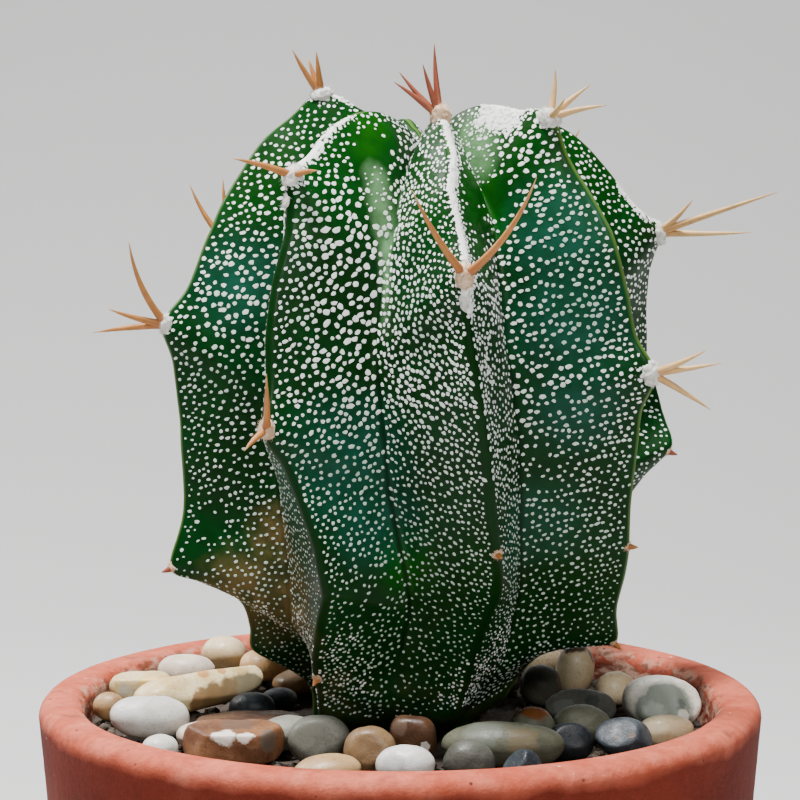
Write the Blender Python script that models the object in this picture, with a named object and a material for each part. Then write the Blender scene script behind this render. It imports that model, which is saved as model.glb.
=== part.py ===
"""An eight-ribbed star cactus in a terracotta pot, with river pebbles laid over its soil.

Blender works in metres, +Z up. The origin is under the middle of the pot, on the surface it stands on.
Sizes below are in millimetres, and heights of plant and pebbles are measured from the pot's rim, up.
"""

import math
import random

import bmesh
import bpy
import numpy as np
from mathutils import Matrix, Vector
from mathutils.bvhtree import BVHTree

MM = 0.001
GAP = 0.3  # clearance between pieces that touch

# The pot
POT_HEIGHT = 107.0
RIM_RADIUS = 60.0
RIM_WIDTH = 7.6
RIM_ROUNDING = 2.6
COLLAR_HEIGHT = 27.0
COLLAR_TAPER = 2.0
COLLAR_STEP = 3.6
COLLAR_ROUNDING = 0.9
BASE_RADIUS = 39.0
BASE_ROUNDING = 1.2
FLOOR_THICKNESS = 7.0
INNER_BASE_RADIUS = 33.0
DRAIN_RADIUS = 6.0
POT_SIDES = 48

# The soil under the pebbles
SOIL_LEVEL = -6.4
SOIL_BANK = 2.0  # how much higher it lies against the back and the left of the pot
BANK_RADII = (24.0, 46.0)  # the bank starts at the first radius and is full at the second
BANK_DIRECTION = (-0.7, 0.8)  # towards the bank (right, back)
BANK_RISE = (-14.0, 26.0)  # and where it starts and is full along that direction
SOIL_SIDES = 40
SOIL_RINGS = (8, 18, 26, 33, 40, 46)
NECK_RADIUS = 13.0
HOLE_FLARE = 4.0  # the soil stands this far off the neck at its surface
HOLE_LIP = -5.5  # and closes in on it from here down
ROOT_DEPTH = -19.0

# The plant stands a little behind the pot's middle, and its axis leans with height: (height, sideways)
PLANT_BACK = 4.0
AXIS = [(0, -2.0), (20, 1.0), (45, 3.0), (62, 3.5), (78, 5.0), (95, 4.0)]
STEM_RINGS = 36
FINE_RINGS = 400  # for finding the places of areoles on a crest
FINE_STEP = 6  # rings each way, for the direction of the crest there
CURVE_STEPS = 12  # between two points of an outline
RIDGE_HALF_WIDTH = 0.65
RIDGE_HEIGHT = 0.3
RIDGE_FADE = 12.0  # nearer to the axis than this, the ridge fades out
FLANK_STEPS = (0.25, 0.52, 0.78)  # from a crest towards the valley beside it
PUFF_HEIGHTS = (51, 90)  # flanks are fullest above the second height
PUFF_LEAST = 0.35  # and this share as full below the first
BUMP_HEIGHT = 2.8  # a crest swells under each areole
BUMP_REACH = 4.2
DROP_HEIGHTS = (70, 95)  # a rib's drop grows from none to full between these heights
DROP_RADII = (0, 8)  # and these radii
REACH_HEIGHTS = (42, 55)  # its reach counts above these

# Outlines as (radius, height). Every crest shares the upper one and has its own foot.
CREST_TOP = [(0, 89), (5, 94), (13, 96.8), (20, 95.6), (25.5, 92.5), (31, 86), (35.8, 78), (39.3, 67.5),
             (41, 56)]
VALLEY_TOP = [(0, 89), (7, 88.6), (14, 85.5), (20.5, 79), (24.5, 70), (27, 57), (27.6, 46), (26.8, 33)]
VALLEY_FOOT = [(25.6, 22), (23.8, 14)]
VALLEY_ANKLE = (22.5, 7)  # no wider than this there
FOOT_WIDE = [(40, 44), (38.5, 32), (36, 20), (32, 13), (26, 8.5), (18, 5), (13.5, 1)]
FOOT_LEFT = [(40, 46), (38.6, 32), (40.2, 22.5), (35, 19.8), (28, 16.5), (25.5, 12), (24.5, 8), (19, 5),
             (13.5, 1.5)]
FOOT_FRONT_LEFT = [(40.2, 46), (38, 31), (36.5, 21), (31.5, 12), (28, 7), (25.5, 3), (23, -1)]
FOOT_FRONT = [(40, 44), (38.6, 33), (36.5, 25), (31, 17), (27.5, 11), (25.5, 5), (23, -1)]
FOOT_RIGHT = [(40, 44), (38.6, 33), (38.2, 25), (36.6, 16), (36.8, 9.5), (30, 9), (25, 7), (21.5, 3),
              (19.5, -1)]
FOOT_FAR_RIGHT = [(41.5, 46), (42.5, 40.5), (38, 35), (35, 29), (33, 19), (30, 12), (24, 7), (17, 3),
                  (13.5, 0)]
NECK = [(NECK_RADIUS, -6.0), (NECK_RADIUS, -11.0), (9, -16.5), (0, ROOT_DEPTH)]

# One rib each, round the plant. A turn is (height, degrees), 0 towards the front and 90 towards +X.
# Areoles are (radius, height) on the crest: spined ones, and worn ones that are down to a stub.
RIBS = [
    dict(name="A", turn=[(20, -73), (70, -76), (95, -86)], foot=FOOT_LEFT, drop=0.0, reach=1.0,
         bulge=1.0, spined=[(16.5, 96.6), (41, 62)], worn=[(40.2, 22.5)]),
    dict(name="B", turn=[(8, -26), (22, -20), (30, -23), (46, -33), (70, -38), (90, -40)], reach=1.0,
         foot=FOOT_FRONT_LEFT, drop=0.2, bulge=1.2, spined=[(31.5, 85.6), (40.3, 48.5)], worn=[(28, 7)]),
    dict(name="C", turn=[(8, 27), (22, 24), (35, 18), (53, 12.5), (70, 8), (85, 5.5), (91, 9)], reach=1.0,
         foot=FOOT_FRONT, drop=3.5, bulge=0.8, spined=[(15.5, 96.8), (38.3, 72)], worn=[(37.6, 29)]),
    dict(name="D", turn=[(9, 76), (27, 67), (40, 62), (55, 57), (80, 51), (96, 48)], reach=1.0,
         foot=FOOT_RIGHT, drop=-0.8, bulge=1.1, spined=[(25, 93.5), (41, 55.5)],
         worn=[(38.2, 26.5), (36.8, 9.5)]),
    dict(name="E", turn=[(20, 96), (41, 93), (54, 112), (64, 110), (80, 102)], foot=FOOT_FAR_RIGHT,
         drop=0.8, reach=1.01, bulge=0.9, spined=[(36.5, 75)], worn=[(41, 40.5)]),
    dict(name="F", turn=[(10, 150), (90, 146)], foot=FOOT_WIDE, drop=3.0, reach=0.98, bulge=1.0,
         spined=[(34, 82), (40, 55)], worn=[(38, 29)]),
    dict(name="G", turn=[(10, 198), (90, 193)], foot=FOOT_WIDE, drop=2.0, reach=1.0, bulge=1.1,
         spined=[(33, 84), (40.5, 58)], worn=[(39, 34)]),
    dict(name="H", turn=[(10, 229), (60, 236), (90, 241)], foot=FOOT_WIDE, drop=2.0, reach=1.0, bulge=0.9,
         spined=[(37.4, 72.5), (39, 37)], worn=[(36, 19)]),
]

# Felt pads and spines. A spine is its tip's step from the pad (right, back, up) and its bow.
PAD_RADII = (1.5, 1.9, 1.2)
PAD_SUNK = 0.4
SPINE_THICKNESS = 1.25
SPINE_TIP_THICKNESS = 0.22
SPINE_SIDES = 4
SPINE_SEGMENTS = 4
NOT_ALONG_A_SPINE = Vector((0.3, 1, 0.2))  # no spine runs this way, so it gives each its sides
STUB_LENGTH = 2.4
STUB_SUNK = 1.5
STUB_BOW = 0.2
SPINES = {
    "A1": [(-4.8, -1, 7.3, 0.5), (-2.2, 2, 5.8, 0.3), (-0.8, -1, 7.0, 0.2)],
    "A2": [(-5.4, -2, 13.9, 2.4), (-8.9, -3, 2.8, 0.6), (-11.8, 1, -1.5, 0.5)],
    "B1": [(-9.2, -4, 2.7, 0.8), (4.3, -3.5, 0.8, 0.6)],
    "B2": [(0.5, -5.5, 9.4, 1.6), (-3.1, -4, -2.8, 0.6)],
    "C1": [(-7.6, -1, 5.4, 0.4), (-6.7, 2, 7.0, 0.4), (-2.9, -1, 8.3, 0.3), (-1.0, 1, 11.6, 0.6)],
    "C2": [(-8.1, -6, 13.3, 1.2), (10.6, -6, 15.4, 3.0)],
    "D1": [(0.8, 1, 7.7, 1.0), (6.6, 2, 5.1, 0.8), (9.0, -1.5, 1.8, 0.8), (2.0, -6, 3.0, 0.6)],
    "D2": [(8.3, -2.5, 4.1, 0.6), (10.8, -1, 1.8, 0.5), (9.4, 1, -6.0, 0.6)],
    "E1": [(18.9, -13, 7.5, 1.2), (5.4, -4, 5.8, 0.8), (15.4, -3, 0.1, -0.5)],
    "H1": [(-6.4, 1, 10.5, 1.4), (-0.6, 1, 11.5, 0.6), (-4.0, 9, 1.0, 0.5)],
    "H2": [(-5.5, 8, 6.0, 0.8), (2.0, 9, 4.5, 0.6), (-3.5, 8.5, -4.5, 0.6)],
}
SPINE_SEED = 11
HIDDEN_SPINES = 3  # on each areole that has no list above
HIDDEN_SPINE_SPREAD = (32, 48)  # degrees off the areole's outward direction
HIDDEN_SPINE_SCATTER = 0.3  # radians either way, round that direction
HIDDEN_SPINE_RISE = 1.5
HIDDEN_SPINE_BOW = 0.8
HIDDEN_SPINE_LENGTH = (8.0, 13.0)

# The pebbles: middle (right, back), then length, width, height, turn, lean and kind of stone.
# Each is let down in this order, in steps, until it meets what lies under it.
PEBBLE_DROP = 2.4  # the height above the rim that it starts from
PEBBLE_STEP = 0.2
PEBBLE_PRESS = 1.0  # it is tried no lower than this into the soil
PEBBLE_SQUARENESS = 0.93  # 1 is a ball and less is boxier, unless its kind is listed
SQUARER = dict(rust=0.62, honey=0.7, shell=0.85)
PEBBLES = [
    (-24.5, -9, 19, 9, 4.6, 8, 0, "rust"),
    (-26.3, -27, 16.6, 10, 7.2, 4, 0, "rust"),
    (-21, 9.5, 9, 6.5, 4.6, 60, 0, "slate"),
    (-34, 5.5, 24, 8.5, 6.6, 28, -7, "honey"),
    (-37.3, 23, 10.5, 8, 6.2, 20, 4, "pale"),
    (-44.3, 12.5, 11, 6, 5.0, 6, 0, "honey"),
    (-40.5, -14, 13.8, 9, 7.4, 24, 6, "white"),
    (-48, -4.5, 5.6, 5, 5.0, 0, 0, "tan"),
    (-37.8, -28.6, 6.2, 5.5, 4.8, 20, 0, "white"),
    (-24, 30, 9.5, 7.5, 6.0, 30, 0, "tan"),
    (-31.5, 36, 8, 7, 6.6, 0, 0, "cream"),
    (-12.7, -26.6, 10.6, 8.6, 8.2, 12, 4, "grey"),
    (-4.7, -33.2, 8.6, 7.2, 8.0, 0, 8, "tan"),
    (0.8, -40, 9.6, 7, 6.8, -4, 0, "white"),
    (2, -26.8, 7.5, 5, 8.2, -10, 0, "rust"),
    (16.2, -29.5, 20, 10, 7.8, -6, 0, "moss"),
    (10.6, -39, 8.4, 6, 7.2, 8, 0, "grey"),
    (18.8, -38.8, 7, 4.6, 5.8, 20, 0, "slate"),
    (21.3, -16, 8, 7, 7.2, 15, 0, "moss"),
    (24.2, 15.5, 7.5, 7.5, 7.4, 0, 0, "pale"),
    (30.3, 23, 7.2, 6.8, 9.6, 10, 12, "cream"),
    (30.2, 1.5, 12.6, 8, 6.4, 12, 4, "grey"),
    (37.2, 17, 8, 6, 6.0, 35, 0, "cream"),
    (25.6, 34, 9, 7, 5.8, -20, 0, "cream"),
    (43.6, 0.5, 13.6, 11, 8.8, -18, 4, "shell"),
    (29.6, -11.5, 10, 7.5, 6.6, 10, 0, "moss"),
    (27, -24, 8, 6.5, 6.4, 0, 0, "slate"),
    (35.8, -22.4, 10, 8, 6.6, 20, 8, "slate"),
    (43.2, -13, 9.5, 6, 5.2, 12, 0, "tan"),
]
FILLER_KINDS = ("grey", "tan", "pale", "moss", "rust", "slate", "white", "honey")
FILLER_SEED = 7
FILLER_COUNT = 13
FILLER_SIZES = ((8, 13), (6.5, 9), (4.5, 6))  # length, width and height
FILLER_RADII = (21, 46)
FILLER_LEAN = 6.0
FILLER_LIFT = 0.7  # a filler lies no higher than this over its place on the soil
GRAVEL_SEED = 5
GRAVEL_COUNT = 34  # small stones half sunk in the soil between the pebbles
GRAVEL_RADIUS = (1.7, 2.8)
GRAVEL_RADII = (19, 47)  # how far out they lie
GRAVEL_ROOM = 0.33  # each keeps this share of its size clear of everything else
STONE_COLOURS = dict(
    rust=(0.23, 0.10, 0.055),
    honey=(0.62, 0.45, 0.24),
    slate=(0.045, 0.06, 0.08),
    pale=(0.62, 0.56, 0.50),
    white=(0.72, 0.72, 0.70),
    tan=(0.42, 0.29, 0.17),
    cream=(0.66, 0.52, 0.34),
    grey=(0.24, 0.25, 0.23),
    moss=(0.21, 0.22, 0.15),
    shell=(0.40, 0.42, 0.39),
)


# Small helpers
def clear_scene():
    for old in list(bpy.data.objects):
        bpy.data.objects.remove(old, do_unlink=True)


def material(name, colour, roughness):
    made = bpy.data.materials.get(name)
    if made is None:
        made = bpy.data.materials.new(name)
        made.use_nodes = True
        shader = made.node_tree.nodes["Principled BSDF"]
        shader.inputs["Base Color"].default_value = (*colour, 1.0)
        shader.inputs["Roughness"].default_value = roughness
        shader.inputs["Metallic"].default_value = 0.0
    return made


def object_from(bm, name, skin=None, sharp_degrees=None):
    """Turns a bmesh drawn in millimetres into an object in metres, with its faces pointing out."""
    bmesh.ops.recalc_face_normals(bm, faces=bm.faces)
    bmesh.ops.scale(bm, vec=(MM, MM, MM), verts=bm.verts)
    mesh = bpy.data.meshes.new(name)
    bm.to_mesh(mesh)
    bm.free()
    made = bpy.data.objects.new(name, mesh)
    bpy.context.scene.collection.objects.link(made)
    if skin:
        mesh.materials.append(skin)
    if sharp_degrees:
        mesh.shade_smooth()
        mesh.set_sharp_from_angle(angle=math.radians(sharp_degrees))
    return made


def boolean_with(body, others, operation):
    """Joins or cuts body with all the others at once, then removes them."""
    group = bpy.data.collections.new("tools")
    bpy.context.scene.collection.children.link(group)
    for other in others:
        bpy.context.scene.collection.objects.unlink(other)
        group.objects.link(other)
    step = body.modifiers.new(operation.title(), "BOOLEAN")
    step.operation = operation
    step.operand_type = "COLLECTION"
    step.collection = group
    step.solver = "EXACT"
    graph = bpy.context.evaluated_depsgraph_get()
    result = bpy.data.meshes.new_from_object(body.evaluated_get(graph))
    body.modifiers.clear()
    body.data = result
    for other in others:
        bpy.data.objects.remove(other, do_unlink=True)
    bpy.data.collections.remove(group)


def surface_tree(objects):
    """One search tree over the surfaces of several objects."""
    points = []
    faces = []
    for obj in objects:
        first = len(points)
        points += [obj.matrix_world @ v.co for v in obj.data.vertices]
        faces += [[first + i for i in f.vertices] for f in obj.data.polygons]
    return BVHTree.FromPolygons(points, faces)


def arc(middle_radius, middle_height, radius, start, end, steps):
    """Points (radius, height) along a rounded edge, with angles in degrees from outwards to up."""
    angles = np.radians(np.linspace(start, end, steps + 1))
    return [(middle_radius + radius * math.cos(a), middle_height + radius * math.sin(a)) for a in angles]


def lathe(outline, sides):
    """Spins a closed outline of (radius, height) once round the pot's middle."""
    bm = bmesh.new()
    corners = [bm.verts.new((r, 0, z)) for r, z in outline]
    edges = [bm.edges.new(pair) for pair in zip(corners, corners[1:] + corners[:1])]
    bmesh.ops.spin(bm, geom=corners + edges, axis=(0, 0, 1), cent=(0, 0, 0), steps=sides,
                   angle=math.tau, use_merge=True)
    return bm


# The pot
def pot_inner_radius(height):
    """Radius of the pot's inner wall, which runs straight from its floor to its rim."""
    top = POT_HEIGHT - RIM_ROUNDING
    share = (height - FLOOR_THICKNESS) / (top - FLOOR_THICKNESS)
    return INNER_BASE_RADIUS + share * (RIM_RADIUS - RIM_WIDTH - INNER_BASE_RADIUS)


def pot_outline():
    top = POT_HEIGHT - RIM_ROUNDING
    collar_base = POT_HEIGHT - COLLAR_HEIGHT
    collar_radius = RIM_RADIUS - COLLAR_TAPER
    outer = arc(RIM_RADIUS - RIM_ROUNDING, top, RIM_ROUNDING, 0, 90, 4)
    inner = arc(RIM_RADIUS - RIM_WIDTH + RIM_ROUNDING, top, RIM_ROUNDING, 90, 180, 3)
    below = [
        (DRAIN_RADIUS, 0),
        (BASE_RADIUS - BASE_ROUNDING, 0),
        (BASE_RADIUS, BASE_ROUNDING),
        (collar_radius - COLLAR_STEP, collar_base - COLLAR_ROUNDING),
        (collar_radius - COLLAR_ROUNDING, collar_base),
        (collar_radius, collar_base + COLLAR_ROUNDING),
    ]
    inside = [(INNER_BASE_RADIUS, FLOOR_THICKNESS), (DRAIN_RADIUS, FLOOR_THICKNESS)]
    return below + outer + inner + inside


def make_pot():
    clay = material("terracotta", (0.56, 0.20, 0.13), 0.75)
    return object_from(lathe(pot_outline(), POT_SIDES), "pot", clay, 35)


# The soil
def soil_level(x, y):
    """Height of the soil, which is banked up against the back and the left of the pot."""
    outwards = np.interp(math.hypot(x, y), BANK_RADII, (0, 1))
    towards_bank = np.interp(x * BANK_DIRECTION[0] + y * BANK_DIRECTION[1], BANK_RISE, (0, 1))
    return float(SOIL_LEVEL + SOIL_BANK * outwards * towards_bank)


def make_soil():
    """A solid that fills the pot, with a plain hole for the plant's neck."""
    bm = bmesh.new()
    floor = FLOOR_THICKNESS + GAP
    wall_top = pot_inner_radius(POT_HEIGHT + SOIL_LEVEL) - GAP
    wall_base = pot_inner_radius(floor) - GAP
    turns = [math.tau * k / SOIL_SIDES for k in range(SOIL_SIDES)]
    spokes = [(math.cos(turn), math.sin(turn)) for turn in turns]
    rings = []
    for radius in (*SOIL_RINGS, wall_top):
        places = [(radius * c, radius * s) for c, s in spokes]
        rings.append([bm.verts.new((x, y, POT_HEIGHT + soil_level(x, y))) for x, y in places])
    rings.append([bm.verts.new((wall_base * c, wall_base * s, floor)) for c, s in spokes])
    for inner, outer in zip(rings, rings[1:]):
        for k in range(SOIL_SIDES):
            bm.faces.new((inner[k - 1], inner[k], outer[k], outer[k - 1]))
    bm.faces.new(rings[0])
    bm.faces.new(rings[-1])
    soil = object_from(bm, "growing_mix", material("grit_soil", (0.06, 0.045, 0.035), 0.95))
    boolean_with(soil, [neck_cutter()], "DIFFERENCE")
    return soil


def neck_cutter():
    """The neck and root of the plant, larger by the gap all round, as a turned shape."""
    above = -SOIL_LEVEL
    mouth = [(0, above), (NECK_RADIUS + HOLE_FLARE, above), (NECK_RADIUS + HOLE_FLARE, HOLE_LIP)]
    buried = [(r + 3 * GAP, z - GAP) for r, z in NECK[1:-1]]
    bottom = [(NECK_RADIUS / 2, ROOT_DEPTH - GAP), (0, ROOT_DEPTH - GAP)]
    bm = lathe([(r, POT_HEIGHT + z) for r, z in mouth + buried + bottom], 32)
    bmesh.ops.translate(bm, vec=(axis_at(0), PLANT_BACK, 0), verts=bm.verts)
    bmesh.ops.remove_doubles(bm, verts=bm.verts, dist=0.001)
    cutter = object_from(bm, "neck_cutter")
    cutter.hide_render = True
    cutter.display_type = "WIRE"
    return cutter


# The plant's stem
def axis_at(height):
    """How far to the side the plant's axis lies at a height above the rim."""
    return float(np.interp(height, *zip(*AXIS)))


def smooth_curve(points, count):
    """Even steps along a smooth curve through the points (a Catmull-Rom spline)."""
    p = np.array(points, float)
    p = np.vstack([2 * p[0] - p[1], p, 2 * p[-1] - p[-2]])
    t = np.linspace(0, 1, CURVE_STEPS, endpoint=False)[:, None]
    runs = []
    for a, b, c, d in zip(p, p[1:], p[2:], p[3:]):
        bend = (2 * a - 5 * b + 4 * c - d) * t**2 + (3 * b - a - 3 * c + d) * t**3
        runs.append(b + ((c - a) * t + bend) / 2)
    curve = np.vstack([*runs, p[-2]])
    curve[:, 0] = np.maximum(curve[:, 0], 0)
    steps = np.linalg.norm(np.diff(curve, axis=0), axis=1)
    along = np.concatenate([[0], np.cumsum(steps)])
    wanted = np.linspace(0, along[-1], count)
    return np.stack([np.interp(wanted, along, curve[:, 0]), np.interp(wanted, along, curve[:, 1])], axis=1)


def swollen(curve, areoles):
    """Pushes a crest's outline outwards under each of its areoles."""
    run = np.gradient(curve, axis=0)
    out = np.stack([-run[:, 1], run[:, 0]], axis=1) / np.linalg.norm(run, axis=1)[:, None]
    push = np.zeros(len(curve))
    for areole in areoles:
        distance = np.linalg.norm(curve - areole, axis=1)
        push = np.maximum(push, BUMP_HEIGHT * np.exp(-((distance / BUMP_REACH) ** 2)))
    return curve + out * push[:, None]


def fitted(rib, outline):
    """The shared outline with a rib's own reach, and its own height at the top."""
    fit = np.array(outline, float)
    high = np.interp(fit[:, 1], DROP_HEIGHTS, (0, 1))
    wide = np.interp(fit[:, 0], DROP_RADII, (0, 1))
    fit[:, 1] -= rib["drop"] * high * wide
    fit[:, 0] *= np.interp(fit[:, 1], REACH_HEIGHTS, (1, rib["reach"]))
    return fit


def crest_outline(rib, count):
    outline = smooth_curve(CREST_TOP + rib["foot"] + NECK, count)
    return swollen(fitted(rib, outline), fitted(rib, rib["spined"]))


def valley_outline(left, right, count):
    """The groove between two ribs, which ends as far in as the shorter of their feet."""
    inner = min(left["foot"][-1], right["foot"][-1])[0]
    widest, height = VALLEY_ANKLE
    ankle = [(min(widest, 1.15 * inner), height), (0.94 * inner, 1)]
    return smooth_curve(VALLEY_TOP + VALLEY_FOOT + ankle + NECK, count)


def turn_at(rib, heights):
    return np.radians(np.interp(heights, *zip(*rib["turn"])))


def around(turn, outline):
    """Points in space, above the rim, for an outline turned round the plant's leaning axis."""
    lean = np.interp(outline[:, 1], *zip(*AXIS))
    x = lean + outline[:, 0] * np.sin(turn)
    y = PLANT_BACK - outline[:, 0] * np.cos(turn)
    return np.stack([x, y, outline[:, 1]], axis=1)


def crest_turns(count):
    """The crest's turn at every ring, for each rib, always increasing round the plant."""
    turns = [turn_at(rib, crest_outline(rib, count)[:, 1]) for rib in RIBS]
    return turns + [turns[0] + math.tau]


def stem_columns(count):
    """Columns of points down the stem, going once round it."""
    turns = crest_turns(count)
    crests = [around(turn, crest_outline(rib, count)) for rib, turn in zip(RIBS, turns)]
    valleys = []
    for k, rib in enumerate(RIBS):
        nxt = RIBS[(k + 1) % len(RIBS)]
        valleys.append(around((turns[k] + turns[k + 1]) / 2, valley_outline(rib, nxt, count)))
    columns = []
    for k, rib in enumerate(RIBS):
        turn = turns[k][:, None]
        sideways = np.hstack([np.cos(turn), np.sin(turn), np.zeros_like(turn)])
        outwards = np.hstack([np.sin(turn), -np.cos(turn), np.zeros_like(turn)])
        size = np.clip(crest_outline(rib, count)[:, :1] / RIDGE_FADE, 0, 1)
        before = flank(crests[k], valleys[k - 1], -sideways, rib["bulge"], size)
        after = flank(crests[k], valleys[k], sideways, rib["bulge"], size)
        ridge = crests[k] + outwards * RIDGE_HEIGHT * size
        columns += [valleys[k - 1], *before[::-1], ridge, *after]
    return columns


def flank(crest, valley, sideways, bulge, size):
    """The side of a rib, from the ridge's edge to just short of the valley, puffed out between them."""
    edge = crest + sideways * RIDGE_HALF_WIDTH * size
    chord = valley - edge
    length = np.maximum(np.linalg.norm(chord, axis=1, keepdims=True), 1e-6)
    run = chord / length
    outwards = sideways - run * np.sum(sideways * run, axis=1, keepdims=True)
    puff = bulge * np.interp(crest[:, 2:], PUFF_HEIGHTS, (PUFF_LEAST, 1)) * np.clip(length / RIDGE_FADE, 0, 1)
    steps = [edge]
    for t in FLANK_STEPS:
        steps.append(edge + chord * t + outwards * puff * 4 * t * (1 - t))
    return steps


def make_stem():
    columns = [column + (0, 0, POT_HEIGHT) for column in stem_columns(STEM_RINGS)]
    bm = bmesh.new()
    apex = bm.verts.new(columns[0][0])
    root = bm.verts.new(columns[0][-1])
    grid = [[bm.verts.new(point) for point in column[1:-1]] for column in columns]
    for left, right in zip(grid, grid[1:] + grid[:1]):
        bm.faces.new((apex, left[0], right[0]))
        bm.faces.new((root, right[-1], left[-1]))
        for k in range(len(left) - 1):
            bm.faces.new((left[k], left[k + 1], right[k + 1], right[k]))
    return object_from(bm, "stem", material("cactus_skin", (0.025, 0.10, 0.035), 0.45), 50)


# Areoles, each a pad of felt with its spines
def areole_frames(rib, kind):
    """Places and outward directions of a rib's areoles, top first."""
    outline = crest_outline(rib, FINE_RINGS)
    turns = turn_at(rib, outline[:, 1])
    line = around(turns, outline)
    frames = []
    for spot in fitted(rib, rib[kind]):
        k = int(np.argmin(np.linalg.norm(outline - spot, axis=1)))
        run = Vector(outline[k + FINE_STEP] - outline[k - FINE_STEP]).normalized()
        outward = Vector((-run.y * math.sin(turns[k]), run.y * math.cos(turns[k]), run.x))
        along = Vector((run.x * math.sin(turns[k]), -run.x * math.cos(turns[k]), run.y))
        frames.append((Vector(line[k]) + Vector((0, 0, POT_HEIGHT)), outward, along))
    return frames


def pad_matrix(place, outward, along, radii):
    side = along.cross(outward)
    turn = Matrix((side, along, outward)).transposed()
    return Matrix.Translation(place) @ turn.to_4x4() @ Matrix.Diagonal((*radii, 1))


def make_pad(name, frame, extra):
    place, outward, along = frame
    place = place - outward * PAD_SUNK
    radii = [r + extra for r in PAD_RADII]
    bm = bmesh.new()
    bmesh.ops.create_icosphere(bm, subdivisions=2, radius=1, matrix=pad_matrix(place, outward, along, radii))
    return object_from(bm, name, material("felt", (0.55, 0.45, 0.33), 0.9), 60)


def make_spine(name, base, tip, bow):
    """A tapering tube along a gentle bend from base to tip, with its root inside the pad."""
    bend = (base + tip) / 2 + bow
    bm = bmesh.new()
    rings = []
    for k in range(SPINE_SEGMENTS + 1):
        t = k / SPINE_SEGMENTS
        centre = base * (1 - t) ** 2 + bend * 2 * t * (1 - t) + tip * t**2
        direction = ((bend - base) * (1 - t) + (tip - bend) * t).normalized()
        side = direction.cross(NOT_ALONG_A_SPINE).normalized()
        up = direction.cross(side)
        radius = (SPINE_THICKNESS * (1 - t) + SPINE_TIP_THICKNESS * t) / 2
        turns = [math.tau * n / SPINE_SIDES for n in range(SPINE_SIDES)]
        rings.append([bm.verts.new(centre + (side * math.cos(a) + up * math.sin(a)) * radius) for a in turns])
    bmesh.ops.contextual_create(bm, geom=rings[0])
    bmesh.ops.contextual_create(bm, geom=rings[-1])
    for low, high in zip(rings, rings[1:]):
        for n in range(SPINE_SIDES):
            nxt = (n + 1) % SPINE_SIDES
            bm.faces.new((low[n], low[nxt], high[nxt], high[n]))
    return object_from(bm, name, material("spine", (0.60, 0.38, 0.20), 0.5), 60)


def hidden_spines(frame, draw):
    """Spines fanned about an areole's outward direction, for the sides without a list."""
    place, outward, along = frame
    side = along.cross(outward)
    start = draw.uniform(0, math.tau)
    steps = []
    for k in range(HIDDEN_SPINES):
        scatter = draw.uniform(-HIDDEN_SPINE_SCATTER, HIDDEN_SPINE_SCATTER)
        turn = start + math.tau * k / HIDDEN_SPINES + scatter
        spread = math.radians(draw.uniform(*HIDDEN_SPINE_SPREAD))
        across = side * math.cos(turn) - along * math.sin(turn)
        direction = outward * math.cos(spread) + across * math.sin(spread)
        step = direction * draw.uniform(*HIDDEN_SPINE_LENGTH)
        steps.append((step.x, step.y, step.z + HIDDEN_SPINE_RISE, HIDDEN_SPINE_BOW))
    return steps


def bow_direction(chord, outward, step):
    """The way a spine bends: away from the plant, or sideways where it rises steeply."""
    level = Vector((step.x, step.y, 0))
    wanted = level if step.z > abs(step.x) else outward
    return (wanted - chord * wanted.dot(chord)).normalized()


def make_areole(label, frame, draw):
    place, outward, along = frame
    pad = make_pad("areole_" + label, frame, 0.0)
    root = place - outward * PAD_SUNK
    spines = []
    for right, back, up, bow in SPINES.get(label) or hidden_spines(frame, draw):
        step = Vector((right, back, up))
        chord = (place + step - root).normalized()
        spines.append(make_spine("spine", root, place + step, bow_direction(chord, outward, step) * bow))
    boolean_with(pad, spines, "UNION")
    return pad


def make_areoles(stem):
    """Seats the spined areoles in sockets in the stem, and joins the stubs of the worn ones to it."""
    draw = random.Random(SPINE_SEED)
    sockets = []
    stubs = []
    for rib in RIBS:
        for k, frame in enumerate(areole_frames(rib, "spined")):
            make_areole(f"{rib['name']}{k + 1}", frame, draw)
            sockets.append(make_pad("socket", frame, GAP))
        for place, outward, along in areole_frames(rib, "worn"):
            root = place - outward * STUB_SUNK
            stubs.append(make_spine("stub", root, place + outward * STUB_LENGTH, along * STUB_BOW))
    boolean_with(stem, stubs, "UNION")
    boolean_with(stem, sockets, "DIFFERENCE")


# The pebbles
def stone_bmesh(size, squareness, extra):
    """A rounded stone: a sphere's points drawn towards a box by the squareness, then stretched."""
    bm = bmesh.new()
    bmesh.ops.create_icosphere(bm, subdivisions=2, radius=1)
    for v in bm.verts:
        boxed = [math.copysign(abs(c) ** squareness, c) for c in v.co]
        v.co = Vector([c * (s / 2 + extra) for c, s in zip(boxed, size)])
    return bm


def make_pebble(name, stone, height, extra=0.0):
    """One stone with its middle at a height above the ground, larger all round by the extra."""
    x, y, length, width, thickness, turn, lean, kind = stone
    bm = stone_bmesh((length, width, thickness), SQUARER.get(kind, PEBBLE_SQUARENESS), extra)
    attitude = Matrix.Rotation(math.radians(turn), 4, "Z") @ Matrix.Rotation(math.radians(lean), 4, "Y")
    bmesh.ops.transform(bm, matrix=Matrix.Translation((x, y, height)) @ attitude, verts=bm.verts)
    return object_from(bm, name, material("stone_" + kind, STONE_COLOURS[kind], 0.5), 60)


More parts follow.
